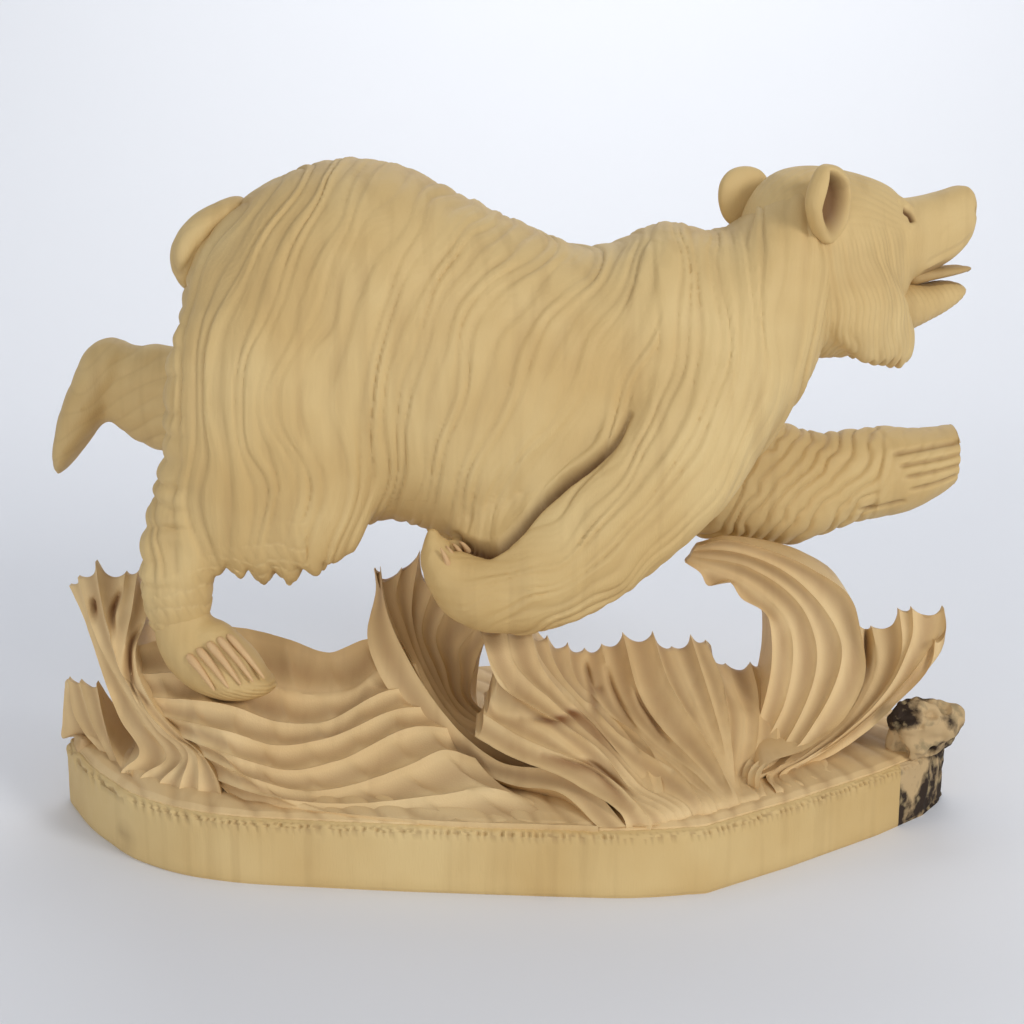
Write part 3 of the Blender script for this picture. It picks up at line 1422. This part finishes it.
@dataclass(frozen=True)
class Leaf:
    """A sheaf of gouge cuts between sharp ridges, from a pointed edge to its foot.

    Fields:
        name: the piece's name.
        nodes: the CAD nodes that it stands for.
        ridges: each ridge's points, x, y and z in millimetres, from its tip to its foot.
        edge: thickness of the leaf along its pointed edge.
        lean: how far the back runs out, as a share of the front.
        sink: the back's offset from the front, for a leaf whose back is buried.
        scoop: depth of a cut as a share of its width.
        notch: how far the edge drops between two tips, as a share of their distance.
        slots: deep narrow cuts, as x and z lines.
        slot_depth: depth of those cuts.
        breaks: how often a scoop ends and the next begins, along a cut.
    """

    name: str
    nodes: tuple[str, ...]
    ridges: tuple[tuple[Point, ...], ...]
    edge: float = 5.0
    lean: float = 0.75
    sink: Point | None = None
    scoop: float = 0.2
    notch: float = 0.22
    slots: tuple[tuple[Flat, ...], ...] = ()
    steps: int = 14
    rows: int = 80
    slot_depth: float = 7.0
    breaks: float = 0.0

    def _curve(self, ridge: tuple[Point, ...], at: np.ndarray) -> np.ndarray:
        """Reads a ridge, 0 at its tip to 1 at its foot.

        Args:
            ridge: the ridge's points.
            at: where along it to read.

        Returns:
            One place for each reading.
        """
        points = np.array(ridge, float)
        if self.sink is None:
            last = points[-1]
            points = np.vstack([points, last - np.array([0.0, 0.0, 5.0])])
        length = np.concatenate([[0.0], np.cumsum(np.linalg.norm(np.diff(points, axis=0), axis=1))])
        return through(length, points, at * length[-1])

    def _column(self, at: float) -> tuple[np.ndarray, np.ndarray, np.ndarray]:
        """One column of the leaf.

        Args:
            at: where across the ridges, in ridges.

        Returns:
            Front places, back places, and how deep in a cut each lies.
        """
        low = min(int(at), len(self.ridges) - 2)
        part = at - low
        hollow = 4.0 * part * (1.0 - part)
        tips = np.array([self.ridges[low][0], self.ridges[low + 1][0]], float)
        first = self._curve(self.ridges[low], np.linspace(0.0, 1.0, 12))
        size = np.linalg.norm(np.diff(first, axis=0), axis=1).sum()
        leaning = (4.0 * part**1.3 * (1.0 - part**1.3)) ** 0.6
        drop = self.notch * np.linalg.norm(tips[1] - tips[0]) * leaning / size
        rows = drop + (1.0 - drop) * np.linspace(0.0, 1.0, self.rows)
        left = self._curve(self.ridges[low], rows)
        right = self._curve(self.ridges[low + 1], rows)
        across = right - left
        middle = left + across * part
        out = np.cross(np.gradient(middle, axis=0), across)
        out /= np.linalg.norm(out, axis=1)[:, None] + 1e-9
        if np.mean(out @ np.array([0.0, -1.0, 0.8])) < 0.0:
            out = -out
        width = np.linalg.norm(across, axis=1)
        deep = np.minimum(self.scoop * width, 5.0) * hollow * ease(width, 2.0, 7.0)
        if self.breaks:
            along = self.breaks * np.linspace(0.0, 1.0, self.rows) + 0.37 * low
            deep = deep * (0.3 + 0.7 * strand(along, 0.3, 0.6))
        front = middle - out * deep[:, None]
        if self.sink is None:
            run = middle[0, 1] - middle[:, 1]
            back = np.stack([middle[:, 0], middle[0, 1] + self.edge + run * self.lean, middle[:, 2]], axis=1)
            back += out * np.array([-1.0, 1.0, -1.0]) * deep[:, None]
        else:
            grow = ease(np.linspace(0.0, 1.0, self.rows), 0.0, 0.35)[:, None]
            back = front + np.array([0.0, self.edge, 0.0]) + np.array(self.sink) * grow
        return front, back, np.full(self.rows, hollow) * np.clip(width / 9.0, 0.0, 1.0)

    def make(self, wood: bpy.types.Material, slot: Slot) -> bpy.types.Object:
        """Builds, cuts and dresses the leaf.

        Args:
            wood: the leaf's finish.
            slot: the slot that the finish fills.

        Returns:
            The leaf.
        """
        count = (len(self.ridges) - 1) * self.steps + 1
        piece = ball(self.name, 2 * self.rows, count + 3)
        start = places_of(piece) * MM
        ring = np.rint(np.arccos(np.clip(start[:, 2], -1.0, 1.0)) / math.pi * (count + 3)).astype(int) - 1
        turn = np.mod(np.arctan2(start[:, 1], start[:, 0]), 2.0 * math.pi)
        spoke = np.rint(turn / math.pi * self.rows).astype(int) % (2 * self.rows)
        grid = np.zeros((count, 2 * self.rows, 3))
        depth = np.zeros((count, 2 * self.rows))
        for column in range(count):
            front, back, deep = self._column(column / self.steps)
            grid[column] = np.vstack([front, back[::-1]])
            depth[column] = np.concatenate([deep, deep[::-1]])
        inside = np.clip(ring - 1, 0, count - 1)
        places = grid[inside, spoke]
        tone = 0.55 * depth[inside, spoke] ** 2
        pinched = (ring == 0) | (ring == count + 1)
        places[pinched] = 0.5 * (places + grid[inside, 2 * self.rows - 1 - spoke])[pinched]
        move_to(piece, places)
        normals = normals_of(piece)
        marks = Drift(71, (5.0, 5.0, 5.0)).at(places) + 0.6 * Drift(72, (2.6, 2.6, 2.6)).at(places)
        places = places + normals * 0.16 * marks[:, None]
        front = spoke < self.rows
        for line in self.slots:
            away, part = nearest_on(line, places[:, (0, 2)])
            fade = np.sin(math.pi * np.clip(part, 0.04, 0.96)) ** 0.5
            mark = np.exp(-((away / 1.5) ** 2)) * front * fade
            places[:, 1] += self.slot_depth * mark
            tone += 0.8 * mark
        move_to(piece, places)
        write_tone(piece, "cut", np.clip(tone, 0.0, 1.4))
        shut_ends(piece, (ring == -1) | (ring == count + 2))
        dress(piece, wood, self.nodes)
        return piece


PLAN: tuple[Flat, ...] = (
    (232, -13), (214, -40), (186, -66), (135, -106), (92, -136), (58, -142), (22, -140), (-53, -134),
    (-129, -125), (-160, -115), (-187, -96), (-215, -59), (-237, -16), (-215, 27), (-187, 64), (-160, 84),
    (-129, 95), (-53, 104),
    (22, 109), (88, 108), (165, 78), (212, 30),
)


@dataclass(frozen=True)
class Plan:
    """The plinth's outline, read by distance around it, with its sawn corner kept straight."""

    points: tuple[Flat, ...] = PLAN

    def around(self, count: int) -> np.ndarray:
        """Gives evenly spread places around the outline, anticlockwise from the right end.

        Args:
            count: how many places.

        Returns:
            The places, x and y.
        """
        points = np.array(self.points[::-1] + self.points[-1:], float)
        steps = np.linalg.norm(np.diff(points, axis=0), axis=1)
        length = np.concatenate([[0.0], np.cumsum(steps)])
        at = np.linspace(0.0, length[-1], count, endpoint=False)
        raw = np.stack([np.interp(at, length, points[:, k]) for k in (0, 1)], axis=1)
        sawn = (raw[:, 0] > 84.0) & (raw[:, 1] < -30.0)
        smooth = raw.copy()
        for shift in range(-9, 10):
            smooth += np.roll(raw, shift, axis=0)
        smooth /= 20.0
        return np.where(sawn[:, None], raw, smooth)


@dataclass(frozen=True)
class Plinth:
    """The sawn plinth under the carving, its band of tool marks, and the ground that rises from it."""

    height: float = 33.0
    bark_from: float = 197.0
    centre: Flat = (0.0, -16.0)
    around: int = 720

    def _turned(self, name: str, profile: tuple[tuple[float, float], ...], per_step: int) -> bpy.types.Object:
        """Sweeps a profile of inset and height around the outline.

        Args:
            name: the piece's name.
            profile: inset from the outline in millimetres, and height, from the top centre to the bottom.
            per_step: rows between two points of the profile.

        Returns:
            The closed piece.
        """
        rows = (len(profile) - 1) * per_step
        piece = ball(name, self.around, rows + 2)
        start = places_of(piece) * MM
        ring = np.rint(np.arccos(np.clip(start[:, 2], -1.0, 1.0)) / math.pi * (rows + 2)).astype(int) - 1
        turn = np.mod(np.arctan2(start[:, 1], start[:, 0]), 2.0 * math.pi)
        spoke = np.rint(turn / (2.0 * math.pi) * self.around).astype(int) % self.around
        outline = Plan().around(self.around)
        inward = np.array(self.centre) - outline
        size = np.linalg.norm(inward, axis=1)[:, None]
        knots = np.arange(len(profile)) * per_step
        at = np.clip(ring, 0, rows)
        rows_at = np.stack([np.interp(at, knots, np.array(profile, float)[:, k]) for k in (0, 1)], axis=1)
        inset = np.minimum(rows_at[:, :1], size[spoke])
        flat = outline[spoke] + inward[spoke] / size[spoke] * inset
        places = np.stack([flat[:, 0], flat[:, 1], rows_at[:, 1]], axis=1)
        for end, row in ((-1, 0), (rows + 1, -1)):
            places[ring == end] = (*self.centre, profile[row][1])
        move_to(piece, places)
        turn_outward(piece)
        return piece

    def _split(self, piece: bpy.types.Object, x: float, keep_right: bool) -> None:
        """Saws the piece across at x and keeps one side, closed.

        Args:
            piece: the piece to saw.
            x: where, in millimetres.
            keep_right: true to keep the side of greater x.
        """
        pick(piece)
        bpy.ops.object.mode_set(mode="EDIT")
        bpy.ops.mesh.select_all(action="SELECT")
        bpy.ops.mesh.bisect(plane_co=(x * MM, 0.0, 0.0), plane_no=(1.0, 0.0, 0.0), use_fill=True,
                            clear_inner=keep_right, clear_outer=not keep_right)
        bpy.ops.object.mode_set(mode="OBJECT")

    def make(self, wood: bpy.types.Material, leafy: bpy.types.Material, bark: bpy.types.Material) -> None:
        """Builds the plinth, its bark end and the ground.

        Args:
            wood: the plinth's finish.
            leafy: the ground's finish.
            bark: finish of the bark end and the knot.
        """
        side = ((120.0, self.height), (7.0, self.height), (3.0, self.height), (1.2, self.height - 1.2),
                (0.0, self.height - 3.4), (0.0, 2.0), (1.2, 0.0), (120.0, 0.0))
        for name, node, right in (("sawn_plinth", "plinth", False), ("bark_end", "bark_edge", True)):
            piece = self._turned(name, side, 6)
            places = places_of(piece)
            normals = normals_of(piece)
            band = np.exp(-(((places[:, 2] - self.height + 2.4) / 1.9) ** 2))
            wander = Drift(81, (9.0, 9.0, 9.0)).at(places)
            ticks = 1.4 * strand((places[:, 0] + 0.5 * places[:, 1]) / 3.6 + 0.8 * wander, 0.3, 0.8) - 1.0
            ticks += 0.4 * Drift(82, (2.0, 2.0, 2.0)).at(places)
            saw = 0.12 * Drift(83, (14.0, 14.0, 1.6)).at(places)
            places += normals * (band * ticks * 1.4 + saw)[:, None]
            if right:
                rough = Drift(85, (7.0, 7.0, 9.0)).at(places) + 0.7 * Drift(86, (2.8, 2.8, 3.5)).at(places)
                upright = (np.abs(normals[:, 2]) < 0.5) * ease(places[:, 0], 206.0, 214.0)
                places += normals * (upright * (1.3 * rough - 0.6))[:, None]
            places[:, 2] = np.clip(places[:, 2], 0.0, None)
            move_to(piece, places)
            stain = np.exp(-(((places[:, 0] + 190.0) / 6.0) ** 2) - ((places[:, 2] - 9.0) / 9.0) ** 2)
            stain *= (places[:, 1] < -20.0) * (0.8 + 0.5 * Drift(84, (5.0, 5.0, 5.0)).at(places))
            write_tone(piece, "cut", np.clip(0.55 * band * (ticks < 0) + 0.6 * stain, 0.0, 1.0))
            self._split(piece, self.bark_from, right)
            dress(piece, bark if right else wood, (node,))
        self._ground(leafy)
        self._knot(bark)

    def _knot(self, bark: bpy.types.Material) -> None:
        """The rough knot and rotten edge at the sawn end of the block.

        Args:
            bark: the knot's finish.
        """
        rows = (
            (194.0, -44.0, 47.0, 9.0, 11.0),
            (205.0, -44.0, 54.0, 11.0, 12.0),
            (217.0, -42.0, 52.0, 10.0, 11.0),
            (226.0, -40.0, 54.0, 8.0, 9.0),
            (230.0, -39.0, 57.0, 6.0, 6.0),
        )
        stub = drawn("stub", rows)
        low = drawn("low", ((196.0, -44.0, 40.0, 14.0, 8.0), (214.0, -32.0, 41.0, 13.0, 9.0),
                            (227.0, -20.0, 41.0, 8.0, 9.0)))
        piece = fused("rotten_knot", [stub, low], 2.6, 3, 2)
        places = places_of(piece)
        rough = Drift(87, (9.0, 9.0, 9.0)).at(places) + 0.6 * Drift(88, (4.0, 4.0, 4.0)).at(places)
        pits = ease(Drift(89, (7.0, 7.0, 7.0)).at(places), 0.2, 0.5)
        places += normals_of(piece) * (1.8 * rough - 3.4 * pits)[:, None]
        move_to(piece, places)
        dress(piece, bark, ("knot_stub",))

    def _ground(self, wood: bpy.types.Material) -> None:
        """The low ground on the plinth, cut in slanting scoops all round.

        Args:
            wood: the ground's finish.
        """
        profile = ((150.0, 36.8), (60.0, 36.8), (32.0, 36.8), (16.0, 36.5), (7.0, 35.6), (3.5, 34.0),
                   (3.2, 31.0), (120.0, 31.0))
        piece = self._turned("low_ground", profile, 9)
        places = places_of(piece)
        normals = normals_of(piece)
        wander = Drift(91, (34.0, 34.0, 20.0)).at(places)
        phase = (0.9 * places[:, 0] + 0.45 * places[:, 1]) / 15.0 + 0.8 * wander
        scoop = strand(phase, 0.5, 0.7)
        lift = (0.3 + 1.0 * ease(places[:, 2], 34.5, 37.0)) * (scoop - 1.0)
        lift *= ease(places[:, 2], 31.5, 34.0)
        places += normals * lift[:, None]
        move_to(piece, places)
        write_tone(piece, "cut", 0.5 * (1.0 - scoop))
        dress(piece, wood, ("ground",))
# Each ridge runs from its tip to its foot; the leaves read from the bear's tail to its nose.
LOW_LEFT = Leaf(
    "low_leaf", ("low_left_leaf",),
    (
        ((-234, -14, 64), (-236, -16, 43), (-236, -18, 34), (-230, -18, 35)),
        ((-232, -16, 66), (-228, -25, 51), (-221, -34, 43), (-211, -44, 35), (-212, -50, 35)),
        ((-225, -20, 66), (-217, -34, 50), (-202, -59, 35), (-200, -66, 35)),
        ((-215, -26, 67), (-209, -40, 52), (-196, -65, 36), (-188, -77, 35)),
    ),
    lean=0.5,
)

TALL_LEFT = Leaf(
    "tall_leaf", ("tall_left_leaf",),
    (
        ((-229, -14, 116), (-222, -24, 107), (-197, -55, 57), (-187, -63, 42), (-195, -71, 35)),
        ((-224, -16, 121), (-211, -38, 95), (-183, -62, 57), (-172, -71, 43), (-184, -80, 35)),
        ((-214, -18, 130), (-210, -30, 118), (-189, -60, 71),
         (-177, -69, 58), (-163, -78, 46), (-173, -88, 35)),
        ((-199, -18, 124), (-199, -30, 114), (-202, -40, 102),
         (-175, -72, 60), (-159, -83, 50), (-162, -94, 35)),
        ((-193, -16, 124), (-193, -32, 111), (-194, -54, 84),
         (-170, -76, 58), (-155, -86, 51), (-152, -98, 35)),
        ((-186, -16, 114), (-187, -32, 103), (-190, -44, 92),
         (-164, -78, 58), (-152, -87, 52), (-140, -103, 35)),
    ),
    lean=0.55,
    slots=(((-200, 117), (-203, 108), (-202, 98)),
           ((-188, 100), (-193, 93), (-193, 84), (-190, 75), (-183, 69)),
           ((-215, 112), (-213, 104)),),
)

GOUGES = Leaf(
    "swept_mound", ("hind_mound",),
    (
        ((-194, -40, 91), (-144, -8, 92), (-116, -14, 87), (-95, -17, 81), (-76, -20, 89), (-57, -24, 90)),
        ((-192, -50, 80), (-132, -44, 77), (-113, -42, 68), (-82, -39, 68), (-65, -37, 79), (-49, -36, 81)),
        ((-186, -58, 71), (-138, -70, 70), (-116, -65, 60), (-96, -60, 58), (-60, -50, 72), (-43, -45, 70)),
        ((-177, -66, 64), (-134, -90, 63), (-116, -82, 54), (-92, -75, 55), (-54, -61, 66), (-38, -54, 64)),
        ((-168, -74, 57), (-128, -102, 54), (-108, -95, 46),
         (-86, -88, 48), (-46, -74, 61), (-32, -68, 58)),
        ((-156, -83, 51), (-122, -112, 48), (-102, -106, 40),
         (-50, -96, 49), (-33, -91, 55), (-18, -86, 49)),
        ((-150, -91, 42), (-115, -119, 42), (-91, -117, 38),
         (-34, -114, 41), (-10, -113, 44), (9, -112, 38)),
        ((-144, -99, 34), (-114, -115, 36), (-52, -131, 36), (40, -140, 36)),
    ),
    sink=(0.0, 12.0, -30.0),
    edge=0.0,
    notch=0.0,
    scoop=0.22,
    breaks=7.0,
)

WAVE = Leaf(
    "wave_rim", ("centre_wave",),
    (
        ((-71, -18, 126), (-70, -20, 118), (-74, -31, 96),
         (-51, -58, 59), (0, -99, 40), (23, -117, 43), (40, -139, 35)),
        ((-67, -30, 130), (-65, -35, 115), (-50, -51, 84), (-7, -87, 48), (32, -113, 50), (53, -138, 35)),
    ),
    sink=(4.0, 16.0, -16.0),
    edge=4.0,
    notch=0.2,
    scoop=0.05,
)

CUP = Leaf(
    "wave_cup", (),
    (
        ((-70, -26, 128), (-66, -27, 113), (-42, -45, 66),
         (-35, -53, 53), (-1, -80, 36), (44, -120, 35), (57, -138, 35)),
        ((-57, -14, 125), (-60, -15, 112), (-55, -19, 95),
         (-32, -41, 56), (28, -92, 40), (48, -114, 38), (60, -138, 35)),
        ((-48, -6, 132), (-52, -12, 100), (-40, -26, 68),
         (-30, -35, 56), (6, -63, 48), (51, -109, 42), (63, -138, 35)),
        ((-40, -4, 116), (-47, -9, 88), (-41, -15, 74),
         (-27, -29, 52), (9, -54, 50), (54, -102, 45), (65, -137, 35)),
        ((-29, -2, 110), (-40, -7, 84), (-35, -12, 71), (-32, -17, 60),
         (-12, -32, 47), (12, -48, 53), (57, -94, 49), (68, -136, 35)),
        ((-17, -4, 100), (-20, -5, 90), (-28, -8, 79), (-27, -11, 68),
         (-27, -15, 60), (-10, -27, 46), (14, -42, 55), (60, -87, 53), (71, -134, 35)),
        ((-10, -8, 93), (-19, -11, 73), (-21, -17, 56), (-6, -25, 48),
         (17, -39, 58), (42, -57, 63), (64, -81, 57), (74, -133, 35)),
    ),
    sink=(6.0, 24.0, -22.0),
    edge=5.0,
    notch=0.4,
    scoop=0.22,
)

APRON = Leaf(
    "front_fold", ("front_block",),
    (
        ((10, -40, 98), (13, -51, 89), (43, -85, 62), (63, -107, 45), (85, -128, 35)),
        ((-3, -48, 102), (0, -58, 91), (23, -80, 73), (51, -104, 54), (60, -112, 46), (81, -130, 35)),
        ((-16, -54, 104), (-5, -73, 81), (11, -84, 74), (45, -106, 57), (55, -115, 46), (77, -132, 35)),
        ((-10, -66, 75), (-8, -71, 70), (2, -78, 69), (28, -98, 59), (50, -116, 44), (72, -134, 35)),
        ((-14, -76, 68), (0, -88, 63), (54, -125, 46), (64, -138, 35)),
        ((-18, -86, 60), (-5, -97, 56), (31, -120, 48), (53, -138, 35)),
    ),
    edge=34.0,
    lean=0.3,
    notch=0.1,
    scoop=0.14,
    slots=(((4, 67), (17, 68), (32, 68), (44, 60), (55, 52)),
           ((15, 56), (28, 54), (39, 52), (49, 46), (56, 42)),),
    slot_depth=3.0,
)

FAN = Leaf(
    "fan_fold", ("fan_ridge", "rear_slope"),
    (
        ((10, -38, 98), (13, -49, 88), (43, -84, 62), (63, -106, 45), (85, -128, 35)),
        ((18, -30, 93), (21, -41, 85), (50, -78, 61), (90, -126, 35)),
        ((29, -20, 86), (30, -31, 79), (57, -72, 58), (78, -99, 44), (94, -124, 35)),
        ((38, -14, 81), (38, -26, 74), (84, -98, 43), (97, -122, 35)),
        ((47, -10, 82), (54, -43, 63), (72, -72, 50), (91, -98, 43), (100, -119, 35)),
        ((58, -8, 88), (67, -50, 63), (96, -98, 42), (103, -117, 35)),
        ((74, -6, 88), (79, -33, 74), (102, -91, 45), (106, -115, 35)),
        ((84, -8, 80), (95, -55, 60), (104, -90, 43), (108, -114, 35)),
        ((94, -6, 86), (104, -69, 54), (107, -96, 39), (110, -112, 35)),
        ((102, -6, 83), (107, -30, 74), (109, -79, 47), (109, -94, 38), (112, -111, 35)),
        ((113, -6, 70), (114, -24, 65), (118, -43, 58), (111, -91, 37), (114, -109, 35)),
        ((126, -6, 71), (127, -24, 65), (116, -83, 39), (113, -90, 37), (117, -107, 35)),
        ((131, -6, 69), (134, -25, 63), (128, -72, 41), (115, -89, 37), (119, -106, 35)),
        ((140, 6, 78), (146, -15, 68), (155, -33, 61),
         (153, -46, 53), (132, -75, 40), (118, -89, 38), (123, -103, 35)),
    ),
    lean=0.75,
    slots=(((38, 77), (39, 72), (42, 66), (45, 66)),
           ((49, 74), (51, 68), (56, 60), (61, 55)),
           ((63, 68), (65, 64), (71, 57), (77, 52)),),
)

RIGHT = Leaf(
    "right_fold", ("right_leaf",),
    (
        ((184, 2, 89), (185, -13, 68), (146, -60, 41), (125, -84, 38), (128, -100, 35)),
        ((190, 0, 89), (192, -8, 75), (181, -26, 57), (147, -61, 41), (127, -82, 37), (132, -97, 35)),
        ((203, -4, 100), (204, -11, 85), (170, -47, 49), (150, -64, 42), (132, -81, 37), (137, -92, 35)),
        ((209, -8, 102), (209, -12, 91), (203, -20, 77), (153, -63, 42), (136, -77, 36), (143, -88, 35)),
        ((225, -10, 103), (223, -13, 92), (215, -19, 81), (159, -59, 43), (142, -71, 36), (151, -81, 35)),
        ((219, -20, 88), (218, -22, 80), (197, -34, 58), (161, -55, 38), (146, -63, 34), (160, -73, 35)),
    ),
    lean=0.6,
    slots=(((188, 89), (185, 68), (170, 55)),),
    slot_depth=9.0,
)

CURL = Leaf(
    "curling_leaf", ("curl_stem", "curl_tip"),
    (
        ((92, 14, 121), (100, 10, 116), (103, 5, 111), (114, 1, 114), (120, -7, 107), (129, -12, 103),
         (132, -18, 101), (134, -24, 89), (133, -32, 79), (122, -51, 46), (110, -78, 34), (111, -80, 29)),
        ((93, 18, 121), (124, 0, 113), (142, -18, 99),
         (139, -42, 62), (129, -54, 47), (113, -84, 37), (114, -86, 29)),
        ((95, 16, 124), (124, 1, 122), (152, -21, 102),
         (156, -28, 90), (138, -59, 48), (115, -90, 39), (116, -92, 29)),
        ((96, 12, 128), (105, 7, 130), (146, -13, 120),
         (168, -32, 92), (145, -63, 49), (118, -94, 41), (119, -96, 29)),
        ((99, 8, 132), (108, 3, 136), (133, -5, 133), (154, -16, 126), (174, -28, 112),
         (177, -35, 100), (179, -44, 78), (168, -53, 58), (152, -65, 49), (120, -96, 41), (121, -98, 29)),
    ),
    sink=(0.0, 34.0, 0.0),
    edge=6.0,
    notch=0.0,
    scoop=0.2,
)

LEAVES = (LOW_LEFT, TALL_LEFT, GOUGES, WAVE, CUP, APRON, FAN, RIGHT, CURL)


# ---- camera, floor and light ------------------------------------------------------------------------
@dataclass(frozen=True)
class Studio:
    """A pale sweep of floor, soft light, and the camera in front of the near side."""

    distance: float = 1.0
    drop_deg: float = 13.5
    target_z: float = 0.152
    lens: float = 67.606
    flat_reach: float = 3.6
    bend: float = 1.4

    def make(self) -> None:
        """Sets up the camera, the floor and the lights."""
        drop = math.radians(self.drop_deg)
        clear_selection()
        place = (0.0, -self.distance * math.cos(drop), self.target_z + self.distance * math.sin(drop))
        bpy.ops.object.camera_add(location=place, rotation=(math.pi / 2.0 - drop, 0.0, 0.0))
        camera = bpy.context.active_object
        camera.data.lens = self.lens
        camera.data.sensor_width = 36.0
        bpy.context.scene.camera = camera
        self._floor()
        self._lamp("key", (1.35, -1.3, 1.0), (0.0, 0.0, 0.15), 0.5, 15.0)
        self._lamp("fill", (-0.7, -1.7, 0.2), (0.0, 0.0, 0.08), 0.7, 8.5)
        self._lamp("back", (0.2, 2.0, 2.2), (0.0, 2.6, 0.6), 1.6, 26.0)
        world = bpy.data.worlds.new("studio")
        world.use_nodes = True
        world.node_tree.nodes["Background"].inputs["Color"].default_value = (0.86, 0.89, 0.95, 1.0)
        world.node_tree.nodes["Background"].inputs["Strength"].default_value = 0.6
        bpy.context.scene.world = world
        bpy.context.scene.view_settings.view_transform = "Standard"

    def _floor(self) -> None:
        """A pale sweep: flat under the figure, then curving up behind it."""
        clear_selection()
        bpy.ops.mesh.primitive_grid_add(x_subdivisions=2, y_subdivisions=96, size=12.0)
        floor = bpy.context.active_object
        floor.name = "floor"
        places = places_of(floor) * MM
        past = places[:, 1] + 6.0 - self.flat_reach
        bend = np.clip(past / self.bend, 0.0, math.pi / 2.0)
        rise = np.maximum(past - self.bend * math.pi / 2.0, 0.0)
        back = np.where(past > 0.0, self.flat_reach - 2.5 + self.bend * np.sin(bend), places[:, 1] + 3.5)
        height = np.where(past > 0.0, self.bend * (1.0 - np.cos(bend)) + rise, 0.0)
        move_to(floor, np.stack([places[:, 0], back, height], axis=1) / MM)
        pick(floor)
        bpy.ops.object.shade_smooth()
        material = bpy.data.materials.new("floor_paper")
        material.use_nodes = True
        shader = material.node_tree.nodes["Principled BSDF"]
        shader.inputs["Base Color"].default_value = (0.80, 0.81, 0.835, 1.0)
        shader.inputs["Roughness"].default_value = 0.7
        floor.data.materials.append(material)

    def _lamp(self, name: str, place: Point, aim: Point, size: float, power: float) -> None:
        """Adds one square soft light that faces a point.

        Args:
            name: the light's name.
            place: where it hangs, in metres.
            aim: the point that it faces, in metres.
            size: length of its side, in metres.
            power: its power in watts.
        """
        data = bpy.data.lights.new(name, "AREA")
        data.size = size
        data.energy = power
        lamp = bpy.data.objects.new(name, data)
        bpy.context.scene.collection.objects.link(lamp)
        way = np.array(aim) - np.array(place)
        lamp.location = place
        pitch = math.atan2(math.hypot(way[0], way[1]), -way[2])
        lamp.rotation_euler = (pitch, 0.0, math.atan2(way[1], way[0]) - math.pi / 2.0)


def main() -> None:
    """Builds the studio and the figure, piece by piece."""
    logging.basicConfig(level=logging.INFO, format="%(name)s: %(message)s")
    Studio().make()
    wood = WoodFinish("bear_wood").make()
    pale = WoodFinish("pale_wood").make()
    leafy = WoodFinish("leaf_wood", (0.72, 0.53, 0.275), (0.66, 0.455, 0.215), (0.24, 0.105, 0.038)).make()
    bark = BarkFinish().make()
    claw = WoodFinish("claw_wood", (0.66, 0.46, 0.24), (0.60, 0.38, 0.18), (0.34, 0.16, 0.06)).make()
    BearBody().make(wood)
    BearHead().make(wood)
    Tail().make(wood)
    FarForeleg().make(wood)
    FarHindLeg().make(wood)
    NearHindPaw().make(wood, claw)
    Plinth().make(pale, leafy, bark)
    for leaf in LEAVES:
        leaf.make(leafy, Slot.PALE)


if __name__ == "__main__":
    main()
